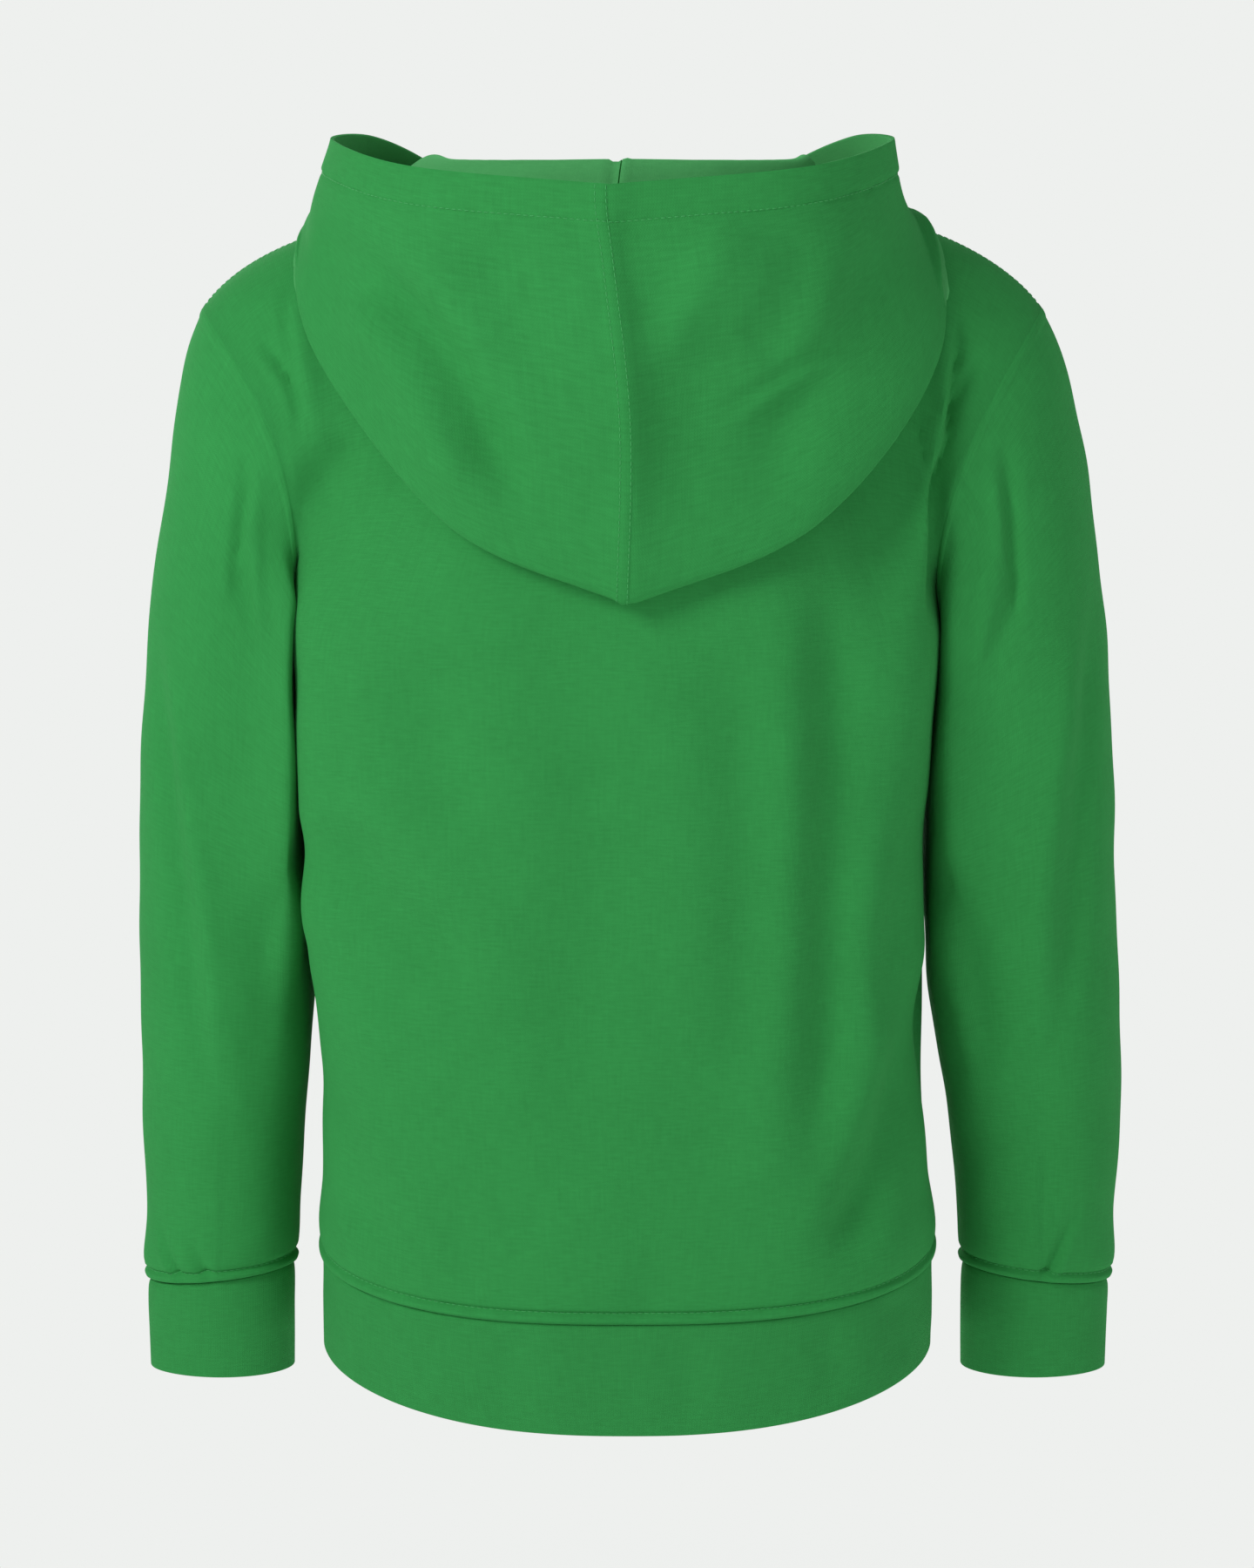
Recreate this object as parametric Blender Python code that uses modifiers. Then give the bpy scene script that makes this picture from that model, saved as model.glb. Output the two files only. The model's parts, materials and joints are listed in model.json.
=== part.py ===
"""Zip-up hoodie in the hollow form it has when worn, its hood down on the back.

Metres, +Z up. The front faces -Y, and the wearer's left is +X. The origin lies between the shoulder
seams, where the shoulders hold the garment up.

The cloth is drafted as one welded surface, from sections and rings, and then cut at its seams into
the pieces that are sewn together. Each piece is a wall: its outer skin lies on the draft, and its
inner skin lies one cloth thickness inside, along the draft's own normals. So the rims of two pieces
run parallel along their seam, SEAM_GAP apart.
"""

import math

import bmesh
import bpy
import numpy as np
from mathutils import Matrix, Vector
from mathutils.bvhtree import BVHTree

OBJECT_NAME = "zip_up_hoodie"

# Cloth
FLEECE_WALL = 0.0022
RIB_WALL = 0.0026
SEAM_GAP = 0.0003
SHARPEST_CORNER = 0.3  # keeps the inset of a pointed corner short
SMOOTH_BELOW = math.radians(40)
HOOD_CLEARANCE = 0.0042  # outer face of the hood to the panel under it
HOOD_REACH = 0.05  # how far off a panel can lie and still lift the hood
WELD = 0.00001
LIFT_ROUNDS = 4

# Body: sections are superellipses, squarer at the back than in front
SIDE_SEAM_Y = -0.006
FRONT_SQUARENESS = 2.6
ROUND_BY = 0.45  # of the rise from underarm to shoulder, where the section has lost its squareness
FRONT_EDGE_X = 0.0070  # half the opening that the zip fills

# Neck and shoulder
NECK_HALF_WIDTH = 0.088
NECK_SIDE_Z = 0.026
NECK_BACK_Y, NECK_BACK_Z = 0.062, 0.010
THROAT_Y, THROAT_Z = -0.090, -0.050
SHOULDER_BEND_X, SHOULDER_BEND_Z = 0.203, 0.0138

# Zip
TAPE_WIDTH, TAPE_THICKNESS = 0.0150, 0.0009
CHAIN_HALF_WIDTH, CHAIN_THICKNESS = 0.0031, 0.0024
BOX_HEIGHT, BOX_THICKNESS = 0.0110, 0.0034
TAPE_TOP = 0.0015  # along the zip, below the throat
SLIDER_TOP = 0.0100  # along the zip, below the throat
SLIDER_WIDTH, SLIDER_HEIGHT, SLIDER_PLATE, SLIDER_CLEARANCE = 0.0100, 0.0150, 0.0014, 0.0004
CHAIN_SHARE = 0.62  # of the slider's height, the part that the closed teeth reach into
ZIP_STEP = 0.004  # half the length over which the zip's direction is taken
SEAM_RAMP = 0.012  # above the waistband's seam, where the zip sinks to clear the thicker rib
EDGE_PROBE_X = FRONT_EDGE_X + 0.0002
SLIDER_ROUNDING = 0.00056
CUT_PAST = 0.0010  # how far a cut runs past the face that it opens
BRIDGE_WIDTH, BRIDGE_HEIGHT, BRIDGE_DEPTH, BRIDGE_BAR = 0.0018, 0.0100, 0.0034, 0.0011
BRIDGE_ROOT = 0.0004  # sunk in the slider's plate
PULL_WIDTH, PULL_LENGTH, PULL_THICKNESS = 0.0062, 0.0280, 0.0012
PULL_WINDOW, PULL_PLAY, PULL_ROUNDING = 0.0062, 0.0004, 0.00024

# Grid of the draft
PANEL_COLUMNS = 11  # from the side seam or armhole to the centre line
SHOULDER_COLUMNS = 5  # of those, the ones that end on the shoulder seam
ARMHOLE_ROWS = 10  # from underarm to shoulder point
NECK_STATIONS = 2 * (PANEL_COLUMNS - SHOULDER_COLUMNS)  # from throat to centre back
SIDE_STATION = NECK_STATIONS // 2
HOOD_ROWS = 22
RING_COLUMNS = 2 * ARMHOLE_ROWS

# Body sections from the hem to the underarm. dip: how much lower the centre back hangs than the sides
BODY_COLUMNS = ("z", "half_width", "back", "front", "dip", "squareness")
BODY_SECTIONS = (
    (-0.6330, 0.1772, 0.1200, 0.1150, 0.0240, 2.40),
    (-0.6060, 0.1773, 0.1170, 0.1140, 0.0205, 2.55),
    (-0.5764, 0.1773, 0.1165, 0.1140, 0.0175, 2.70),
    (-0.5640, 0.1788, 0.1200, 0.1160, 0.0160, 2.75),
    (-0.5300, 0.1752, 0.1200, 0.1160, 0.0110, 2.90),
    (-0.4800, 0.1727, 0.1190, 0.1150, 0.0040, 3.05),
    (-0.4300, 0.1745, 0.1185, 0.1150, 0.0000, 3.15),
    (-0.3600, 0.1765, 0.1200, 0.1160, 0.0000, 3.20),
    (-0.2850, 0.1775, 0.1210, 0.1180, 0.0000, 3.20),
    (-0.2400, 0.1795, 0.1215, 0.1180, 0.0000, 3.20),
    (-0.2100, 0.1830, 0.1215, 0.1180, 0.0000, 3.20),
)
RIB_ROWS_Z = (-0.6330, -0.6200, -0.5950, -0.5764)
BODY_ROWS_Z = (-0.5764, -0.5640, -0.5350, -0.4950, -0.4500, -0.4050, -0.3550, -0.3050, -0.2600, -0.2100)

# Centre lines of back and front above the underarm
CENTRE_BACK = (
    (-0.210, 0.1215), (-0.150, 0.1235), (-0.100, 0.1200), (-0.050, 0.1060), (-0.015, 0.0860), (0.010, 0.0620),
)
CENTRE_FRONT = ((-0.210, -0.1180), (-0.160, -0.1165), (-0.110, -0.1100), (-0.075, -0.1010), (-0.050, -0.0900))

# Sleeve rings from the armhole to the cuff seam, then the cuff to its open end. squareness: how full the
# side by the body is, where 2 is round
SLEEVE_COLUMNS = ("outer_x", "outer_z", "inner_x", "inner_z", "depth", "middle_y", "bow", "squareness")
SLEEVE_RINGS = (
    (0.2370, -0.0330, 0.1830, -0.2100, 0.1500, -0.0060, 0.0235, 2.00),
    (0.2490, -0.0620, 0.1850, -0.2200, 0.1490, -0.0070, 0.0165, 2.20),
    (0.2562, -0.0950, 0.1838, -0.2330, 0.1470, -0.0080, 0.0100, 2.50),
    (0.2630, -0.1350, 0.1822, -0.2500, 0.1440, -0.0100, 0.0050, 2.80),
    (0.2705, -0.1850, 0.1803, -0.2750, 0.1400, -0.0120, 0.0020, 3.00),
    (0.2770, -0.2430, 0.1792, -0.3100, 0.1340, -0.0150, 0.0000, 3.00),
    (0.2808, -0.3000, 0.1784, -0.3480, 0.1280, -0.0170, 0.0000, 3.00),
    (0.2825, -0.3550, 0.1780, -0.3880, 0.1220, -0.0200, 0.0000, 3.00),
    (0.2840, -0.4100, 0.1788, -0.4280, 0.1150, -0.0220, 0.0000, 2.90),
    (0.2858, -0.4630, 0.1840, -0.4700, 0.1070, -0.0240, 0.0000, 2.70),
    (0.2862, -0.5150, 0.1895, -0.5150, 0.0990, -0.0270, 0.0000, 2.50),
    (0.2848, -0.5600, 0.1932, -0.5560, 0.0900, -0.0290, 0.0000, 2.30),
    (0.2862, -0.5900, 0.1945, -0.5820, 0.0800, -0.0300, 0.0000, 2.10),
    (0.2822, -0.6035, 0.1972, -0.5940, 0.0680, -0.0300, 0.0000, 2.00),
)
CUFF_RINGS = (
    (0.2822, -0.6035, 0.1972, -0.5940, 0.0680, -0.0300, 0.0000, 2.00),
    (0.2832, -0.6120, 0.1965, -0.6060, 0.0670, -0.0300, 0.0000, 2.00),
    (0.2825, -0.6350, 0.1965, -0.6330, 0.0640, -0.0300, 0.0000, 2.00),
    (0.2820, -0.6570, 0.1968, -0.6570, 0.0620, -0.0300, 0.0000, 2.00),
)

# Hood, from the throat round to the centre back. Its cloth rises from the neck seam to the crest, rolls
# over and lies on the body down to the fold, and comes up outside to the edge that frames the face
HOOD_COLUMNS = (
    "crest_x", "crest_y", "crest_z", "fold_x", "fold_y", "fold_z", "edge_x", "edge_y", "edge_z",
    "fold_radius", "bulge",
)
HOOD_STATIONS = (
    (0.0075, -0.0925, -0.0460, 0.0080, -0.0940, -0.0425, 0.0085, -0.0890, -0.0360, 0.0010, 0.000),
    (0.0520, -0.0850, -0.0130, 0.0680, -0.0900, -0.0140, 0.0510, -0.0740, 0.0060, 0.0040, 0.001),
    (0.0920, -0.0520, 0.0290, 0.1300, -0.0560, 0.0020, 0.0990, -0.0450, 0.0440, 0.0080, 0.001),
    (0.1040, -0.0030, 0.0490, 0.1718, -0.0020, 0.0080, 0.1350, -0.0020, 0.0620, 0.0090, 0.000),
    (0.0930, 0.0450, 0.0480, 0.1720, 0.0760, -0.0560, 0.1540, 0.0520, 0.0605, 0.0100, 0.001),
    (0.0530, 0.0710, 0.0480, 0.1000, 0.1260, -0.1470, 0.1060, 0.1230, 0.0470, 0.0090, 0.010),
    (0.0000, 0.0790, 0.0485, 0.0000, 0.1370, -0.1900, 0.0000, 0.1520, 0.0380, 0.0080, 0.012),
)
LYING_SHARES = (0.30, 0.65)  # of the way from crest to fold
OUTER_BULGE = ((0.33, 1.0), (0.70, 0.9))  # share of the way from fold to edge, share of the bulge
CLEAR_SHARE = 0.12  # of the cloth from the neck seam on, the part that rises to the full clearance
CLEAR_ROWS = 3

# How far the hood leans towards the left shoulder, and how far the garment sways to the left at the sides
# of its body and at the outside of its sleeves. The ranges give the |x| between which each takes hold
HOOD_LEAN = ((-0.200, -0.0010), (-0.080, -0.0025), (0.000, 0.0065), (0.030, 0.0100), (0.060, 0.0080))
BODY_SWAY = (
    (-0.570, 0.0000), (-0.460, 0.0028), (-0.360, 0.0060),
    (-0.200, 0.0065), (-0.120, 0.0030), (-0.060, 0.0000),
)
ARM_SWAY = (
    (-0.620, -0.0005), (-0.530, -0.0025), (-0.470, -0.0025), (-0.380, -0.0005), (-0.200, -0.0002),
    (-0.110, -0.0003), (-0.030, 0.0028),
)

LEAN_SHARE = 0.3
BODY_SWAY_STARTS, BODY_SWAY_ENDS = (0.05, 0.15), (0.19, 0.27)
ARM_SWAY_STARTS = (0.16, 0.22)

MATERIALS = {
    "fleece": ((0.032, 0.290, 0.062), 0.92, 0.0),
    "rib": ((0.030, 0.275, 0.058), 0.90, 0.0),
    "zip_tape": ((0.028, 0.250, 0.055), 0.80, 0.0),
    "zip_teeth": ((0.035, 0.270, 0.070), 0.45, 0.0),
    "zip_metal": ((0.620, 0.620, 0.600), 0.32, 1.0),
}


def along(knots, rows, at):
    """The smooth curve through rows, each reached at its knot."""
    knots = np.asarray(knots, float)
    rows = np.asarray(rows, float)
    at = min(max(at, knots[0]), knots[-1])
    k = min(int(np.searchsorted(knots, at, side="right")) - 1, len(knots) - 2)
    slopes = np.gradient(rows, knots, axis=0)
    span = knots[k + 1] - knots[k]
    t = (at - knots[k]) / span
    start = (1 + 2 * t) * (1 - t) ** 2 * rows[k] + t * (1 - t) ** 2 * span * slopes[k]
    end = t * t * (3 - 2 * t) * rows[k + 1] + t * t * (t - 1) * span * slopes[k + 1]
    return start + end


def table_row(columns, rows, at, keyed=False):
    """A table's row at a fractional place, as a dict: by row number, or by the first column's value."""
    if keyed:
        knots = [row[0] for row in rows]
        return dict(zip(columns, along(knots, rows, at)))
    return dict(zip(columns, along(range(len(rows)), rows, at)))


def value_at(rows, at):
    """The smooth value of a table of (place, value) rows."""
    return float(along([row[0] for row in rows], [[row[1]] for row in rows], at)[0])


def smoothstep(low, high, value):
    t = min(max((value - low) / (high - low), 0.0), 1.0)
    return t * t * (3 - 2 * t)


def power(base, exponent):
    return math.copysign(abs(base) ** exponent, base)


def sway(point):
    """The body's sides lean together: the centre and the outside of the sleeves stay put."""
    x, y, z = point
    body = smoothstep(*BODY_SWAY_STARTS, abs(x)) * (1 - smoothstep(*BODY_SWAY_ENDS, abs(x)))
    arm = smoothstep(*ARM_SWAY_STARTS, abs(x))
    return Vector((x + value_at(BODY_SWAY, z) * body + value_at(ARM_SWAY, z) * arm, y, z))


def neck_point(station):
    """The neck seam, from the throat at station 0 to the centre back at NECK_STATIONS."""
    if station >= SIDE_STATION:
        turn = (station - SIDE_STATION) / SIDE_STATION * math.pi / 2
        x = NECK_HALF_WIDTH * math.cos(turn)
        y = SIDE_SEAM_Y + (NECK_BACK_Y - SIDE_SEAM_Y) * math.sin(turn)
        z = NECK_SIDE_Z + (NECK_BACK_Z - NECK_SIDE_Z) * math.sin(turn) ** 2
        return Vector((x, y, z))
    turn = (SIDE_STATION - station) / SIDE_STATION * math.pi / 2
    x = FRONT_EDGE_X + (NECK_HALF_WIDTH - FRONT_EDGE_X) * math.cos(turn)
    y = SIDE_SEAM_Y + (THROAT_Y - SIDE_SEAM_Y) * math.sin(turn)
    z = NECK_SIDE_Z + (THROAT_Z - NECK_SIDE_Z) * math.sin(turn) ** 2
    return Vector((x, y, z))


def shoulder_point(share):
    """The shoulder seam, from the shoulder point at 0 to the neck at 1."""
    tip = table_row(SLEEVE_COLUMNS, SLEEVE_RINGS, 0)
    start = Vector((tip["outer_x"], SIDE_SEAM_Y, tip["outer_z"]))
    bend = Vector((SHOULDER_BEND_X, SIDE_SEAM_Y, SHOULDER_BEND_Z))
    end = Vector((NECK_HALF_WIDTH, SIDE_SEAM_Y, NECK_SIDE_Z))
    return start * (1 - share) ** 2 + bend * 2 * share * (1 - share) + end * share**2


def top_point(column, face):
    """The upper edge of a body panel: the shoulder seam, then the neck seam."""
    if column <= SHOULDER_COLUMNS:
        return shoulder_point(column / SHOULDER_COLUMNS)
    return neck_point(SIDE_STATION + face * (column - SHOULDER_COLUMNS))


def ring_point(rings, at, turn):
    """A sleeve or cuff ring: turn 0 is outside, pi is inside, and pi/2 faces the back."""
    ring = table_row(SLEEVE_COLUMNS, rings, at)
    fullness = 2 / ring["squareness"] if math.cos(turn) < 0 else 1
    across = (1 + power(math.cos(turn), fullness)) / 2
    x = ring["inner_x"] + (ring["outer_x"] - ring["inner_x"]) * across - ring["bow"] * math.sin(turn) ** 2
    y = ring["middle_y"] + ring["depth"] / 2 * power(math.sin(turn), fullness)
    z = ring["inner_z"] + (ring["outer_z"] - ring["inner_z"]) * across
    return Vector((x, y, z))


def body_point(column, z, face):
    """A point of the body below the underarm. face is 1 for the back and -1 for the front."""
    section = table_row(BODY_COLUMNS, BODY_SECTIONS, z, keyed=True)
    turn = column / PANEL_COLUMNS * math.pi / 2
    squareness = section["squareness"] if face > 0 else FRONT_SQUARENESS
    centre_x = 0.0 if face > 0 else FRONT_EDGE_X
    depth = section["back"] - SIDE_SEAM_Y if face > 0 else section["front"] + SIDE_SEAM_Y
    away = power(math.sin(turn), 2 / squareness)
    x = centre_x + (section["half_width"] - centre_x) * power(max(math.cos(turn), 0.0), 2 / squareness)
    dip = section["dip"] * away**2 if face > 0 else 0.0
    return Vector((x, SIDE_SEAM_Y + face * depth * away, z - dip))


def yoke_point(column, rise, face):
    """A point of the body between the underarm, at rise 0, and the shoulder and neck, at rise 1."""
    armhole = ring_point(SLEEVE_RINGS, 0, face * math.pi * (1 - rise))
    top = top_point(column, face)
    under = body_point(column, BODY_ROWS_Z[-1], face)
    shoulder_tip, middle = top_point(0, face), top_point(PANEL_COLUMNS, face)
    lift = (1 - math.cos(math.pi * rise)) / 2
    z = under.z + (top.z - under.z) * lift
    turn = column / PANEL_COLUMNS * math.pi / 2
    squareness = BODY_SECTIONS[-1][-1] if face > 0 else FRONT_SQUARENESS
    centre_x = 0.0 if face > 0 else FRONT_EDGE_X
    edge = smoothstep(0, 1, rise)
    spread_low = power(max(math.cos(turn), 0.0), 2 / squareness)
    spread_top = (top.x - centre_x) / (shoulder_tip.x - centre_x)
    x = centre_x + (armhole.x - centre_x) * (spread_low * (1 - edge) + spread_top * edge)
    profile = CENTRE_BACK if face > 0 else CENTRE_FRONT
    middle_z = BODY_ROWS_Z[-1] + (middle.z - BODY_ROWS_Z[-1]) * lift
    middle_y = value_at(profile, middle_z)
    roundness = 1 + (squareness - 1) * (1 - smoothstep(0, ROUND_BY, rise))
    away_low = power(math.sin(turn), 2 / roundness)
    away_top = (top.y - SIDE_SEAM_Y) / (middle.y - SIDE_SEAM_Y)
    over = rise**4
    away = away_low * (1 - over) + away_top * over
    return Vector((x, armhole.y + (middle_y - armhole.y) * away, z))


def hood_profile(station):
    """The points that the hood's cloth passes through at a station, from the neck seam to the face edge."""
    at = station / NECK_STATIONS * (len(HOOD_STATIONS) - 1)
    row = table_row(HOOD_COLUMNS, HOOD_STATIONS, at)
    neck = neck_point(station)
    names = ("crest", "fold", "edge")
    crest, fold, edge = (Vector([row[f"{name}_{axis}"] for axis in "xyz"]) for name in names)
    down = (fold - crest).normalized()
    outward = (edge - crest) - down * (edge - crest).dot(down)
    outward.normalize()
    radius = row["fold_radius"]
    fold_in = fold - down * radius - outward * radius
    fold_out = fold - down * radius + outward * radius
    lying = [crest.lerp(fold_in, share) for share in LYING_SHARES]
    outer = [fold_out.lerp(edge, share) + outward * row["bulge"] * lift for share, lift in OUTER_BULGE]
    return [neck, crest, *lying, fold_in, fold, fold_out, *outer, edge]


def hood_point(station, share, under, side):
    """A point of the hood, share of the way from neck seam to face edge, kept clear of the cloth under it.

    side is 1 on the left and -1 on the right."""
    points = [np.array(point) for point in hood_profile(station)]
    steps = [math.sqrt((b - a).dot(b - a)) for a, b in zip(points, points[1:])]
    knots = np.concatenate([[0.0], np.cumsum(steps)])
    x, y, z = along(knots, points, share * knots[-1])
    point = Vector((side * x + value_at(HOOD_LEAN, z) * smoothstep(0, LEAN_SHARE, share), y, z))
    near, normal, _, distance = under.find_nearest(point)
    clearance = HOOD_CLEARANCE * smoothstep(0, CLEAR_SHARE, share)
    if (point - near).dot(normal) < clearance and distance < HOOD_REACH:
        point = near + normal * clearance
    return point


class Draft:
    """One welded surface, each of its faces marked with the piece that it is cut into."""

    def __init__(self):
        self.mesh = bmesh.new()
        self.piece = self.mesh.faces.layers.int.new("piece")
        self.names = []

    def add_grid(self, name, rows):
        """Adds a piece's faces, which look to the left of the way from the first row to the last."""
        if name not in self.names:
            self.names.append(name)
        grid = [[self.mesh.verts.new(point) for point in row] for row in rows]
        for low, high in zip(grid, grid[1:]):
            for a, b, c, d in zip(low, low[1:], high[1:], high):
                face = self.mesh.faces.new((a, b, c, d))
                face[self.piece] = self.names.index(name)

    def weld(self):
        bmesh.ops.remove_doubles(self.mesh, verts=self.mesh.verts[:], dist=WELD)
        for vert in self.mesh.verts:
            vert.co = sway(vert.co)
        self.mesh.normal_update()

    def tree(self):
        return BVHTree.FromBMesh(self.mesh)


def inset_of(vert, faces):
    """Half a seam gap, square to the shared normal, away from the seams that this piece has at a point."""
    inward = []
    for edge in vert.link_edges:
        mine = [face for face in edge.link_faces if face in faces]
        if len(mine) != 1 or len(edge.link_faces) < 2:
            continue
        along_edge = (edge.other_vert(vert).co - vert.co).normalized()
        into = mine[0].calc_center_median() - vert.co
        into -= along_edge * into.dot(along_edge)
        into -= vert.normal * into.dot(vert.normal)
        inward.append(into.normalized())
    if not inward:
        return Vector((0, 0, 0))
    total = sum(inward, Vector((0, 0, 0)))
    if len(inward) == 1:
        return inward[0] * SEAM_GAP / 2
    return total / max(1 + inward[0].dot(inward[1]), SHARPEST_CORNER) * SEAM_GAP / 2


def make_material(name):
    colour, roughness, metallic = MATERIALS[name]
    material = bpy.data.materials.new(name)
    material.use_nodes = True
    shader = material.node_tree.nodes["Principled BSDF"]
    shader.inputs["Base Color"].default_value = (*colour, 1)
    shader.inputs["Roughness"].default_value = roughness
    shader.inputs["Metallic"].default_value = metallic
    return material


def make_object(name, mesh, material, collection):
    mesh.shade_smooth()
    mesh.set_sharp_from_angle(angle=SMOOTH_BELOW)
    mesh.materials.append(material)
    made = bpy.data.objects.new(name, mesh)
    collection.objects.link(made)
    return made


def cut_piece(draft, name, wall, material, collection):
    """The closed wall of one piece: outer skin on the draft, inner skin one wall inside, and its rims.

    The rims of two neighbours are split along the same diagonals, so that they stay parallel."""
    draft.mesh.verts.index_update()
    number = draft.names.index(name)
    faces = {face for face in draft.mesh.faces if face[draft.piece] == number}
    verts = sorted({vert for face in faces for vert in face.verts}, key=lambda vert: vert.index)
    shell = bmesh.new()
    outer, inner = {}, {}
    for vert in verts:
        place = vert.co + inset_of(vert, faces)
        outer[vert] = shell.verts.new(place)
        inner[vert] = shell.verts.new(place - vert.normal * wall)
    for face in faces:
        shell.faces.new([outer[vert] for vert in face.verts])
        shell.faces.new([inner[vert] for vert in reversed(face.verts)])
    for face in faces:
        for loop in face.loops:
            if all(other is face or other not in faces for other in loop.edge.link_faces):
                a, b = loop.vert, loop.link_loop_next.vert
                if a.index < b.index:
                    rim = ([outer[b], outer[a], inner[b]], [outer[a], inner[a], inner[b]])
                else:
                    rim = ([outer[b], outer[a], inner[a]], [outer[b], inner[a], inner[b]])
                for corners in rim:
                    shell.faces.new(corners)
    mesh = bpy.data.meshes.new(name)
    shell.to_mesh(mesh)
    shell.free()
    return make_object(name, mesh, material, collection)


def other_side(rows):
    """Rows of the left side, mirrored to the right and run the other way, so that they still face out."""
    return [[Vector((-point.x, point.y, point.z)) for point in reversed(row)] for row in rows]


def draft_body(draft):
    """Back, fronts and waistband, both halves."""
    columns = range(PANEL_COLUMNS + 1)
    for face in (1, -1):
        rib = [[body_point(column, z, face) for column in columns] for z in RIB_ROWS_Z]
        rows = [[body_point(column, z, face) for column in columns] for z in BODY_ROWS_Z]
        for row in range(1, ARMHOLE_ROWS + 1):
            rows.append([yoke_point(column, row / ARMHOLE_ROWS, face) for column in columns])
        left, right = ("back", "back") if face > 0 else ("front_left", "front_right")
        for left_name, right_name, grid in (("waistband", "waistband", rib), (left, right, rows)):
            if face < 0:
                grid = [row[::-1] for row in grid]
            draft.add_grid(left_name, grid)
            draft.add_grid(right_name, other_side(grid))


def draft_sleeves(draft):
    turns = [-2 * math.pi * k / RING_COLUMNS for k in range(RING_COLUMNS + 1)]
    for name, rings in (("sleeve", SLEEVE_RINGS), ("cuff", CUFF_RINGS)):
        rows = [[ring_point(rings, at, turn) for turn in turns] for at in range(len(rings))]
        draft.add_grid(f"{name}_left", rows)
        draft.add_grid(f"{name}_right", other_side(rows))


def lift_clear(rows, under):
    """Raises the corners of every cell whose middle comes too near the cloth under it, the seam row apart."""
    for _ in range(LIFT_ROUNDS):
        for number, (low, high) in enumerate(zip(rows, rows[1:])):
            for corners in zip(low, low[1:], high[1:], high):
                middle = sum(corners, Vector((0, 0, 0))) / 4
                near, normal, _, distance = under.find_nearest(middle)
                short = HOOD_CLEARANCE * smoothstep(0, CLEAR_ROWS, number) - (middle - near).dot(normal)
                if short > 0 and distance < HOOD_REACH:
                    for corner in corners if number else corners[2:]:
                        corner += normal * short


def draft_hood(draft, under):
    """Both halves, drafted as one sheet from the left of the throat round the back to its right."""
    places = [(station, 1) for station in range(NECK_STATIONS + 1)]
    places += [(station, -1) for station in reversed(range(NECK_STATIONS))]
    rows = []
    for row in range(HOOD_ROWS + 1):
        rows.append([hood_point(station, row / HOOD_ROWS, under, side) for station, side in places])
    lift_clear(rows, under)
    draft.add_grid("hood_left", [row[: NECK_STATIONS + 1] for row in rows])
    draft.add_grid("hood_right", [row[NECK_STATIONS:] for row in rows])


class ZipLine:
    """The fronts' edges at the zip, row by row from the throat down to the hem."""

    def __init__(self, under):
        rows = [yoke_point(PANEL_COLUMNS, row / ARMHOLE_ROWS, -1) for row in range(ARMHOLE_ROWS, 0, -1)]
        rows += [body_point(PANEL_COLUMNS, z, -1) for z in reversed(RIB_ROWS_Z[:-1] + BODY_ROWS_Z)]
        self.rows = rows
        self.under = under
        self.distances = np.concatenate([[0.0], np.cumsum([(b - a).length for a, b in zip(rows, rows[1:])])])
        self.length = self.distances[-1]
        self.seam = self.distances[-len(RIB_ROWS_Z)]

    def point(self, distance):
        y = np.interp(distance, self.distances, [point.y for point in self.rows])
        z = np.interp(distance, self.distances, [point.z for point in self.rows])
        return Vector((0, y, z))

    def fall(self, x, z):
        """How much further back the front panel lies at x than at its edge by the zip."""
        hits = [self.under.ray_cast(Vector((at, -1, z)), Vector((0, 1, 0)))[0] for at in (x, EDGE_PROBE_X)]
        return 0.0 if None in hits else hits[0].y - hits[1].y

    def place(self, distance, x, lift):
        """A point of the zip: down the line, x across, lift out from the middle plane of its tapes."""
        point = self.point(distance)
        down = (self.point(distance + ZIP_STEP) - self.point(distance - ZIP_STEP)).normalized()
        outward = Vector((0, down.z, -down.y))
        wall = FLEECE_WALL + (RIB_WALL - FLEECE_WALL) * smoothstep(-SEAM_RAMP, 0, distance - self.seam)
        depth = wall + 2 * SEAM_GAP + TAPE_THICKNESS / 2
        back = self.fall(abs(x), point.z) if abs(x) > EDGE_PROBE_X else 0.0
        return Vector((x, point.y + back, point.z)) + outward * (lift - depth), down, outward


def loft_bar(name, line, distances, x_range, thickness, material, collection):
    """A flat bar along the zip, with a rectangular section at each distance."""
    bar = bmesh.new()
    rows = []
    for distance in distances:
        corners = [(x_range[0], 1), (x_range[1], 1), (x_range[1], -1), (x_range[0], -1)]
        places = [line.place(distance, x, face * thickness / 2)[0] for x, face in corners]
        rows.append([bar.verts.new(place) for place in places])
    for high, low in zip(rows, rows[1:]):
        for k in range(4):
            bar.faces.new((high[k], high[(k + 1) % 4], low[(k + 1) % 4], low[k]))
    bar.faces.new(rows[0][::-1])
    bar.faces.new(rows[-1])
    bmesh.ops.recalc_face_normals(bar, faces=bar.faces[:])
    mesh = bpy.data.meshes.new(name)
    bar.to_mesh(mesh)
    bar.free()
    return make_object(name, mesh, material, collection)


def add_block(name, size, middle, frame, collection):
    """A box of a given size, with its middle at a place in the slider's own frame."""
    block = bmesh.new()
    bmesh.ops.create_cube(block, size=1)
    bmesh.ops.scale(block, verts=block.verts[:], vec=size)
    bmesh.ops.translate(block, verts=block.verts[:], vec=middle)
    mesh = bpy.data.meshes.new(name)
    block.to_mesh(mesh)
    block.free()
    made = bpy.data.objects.new(name, mesh)
    made.matrix_world = frame
    collection.objects.link(made)
    return made


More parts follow.
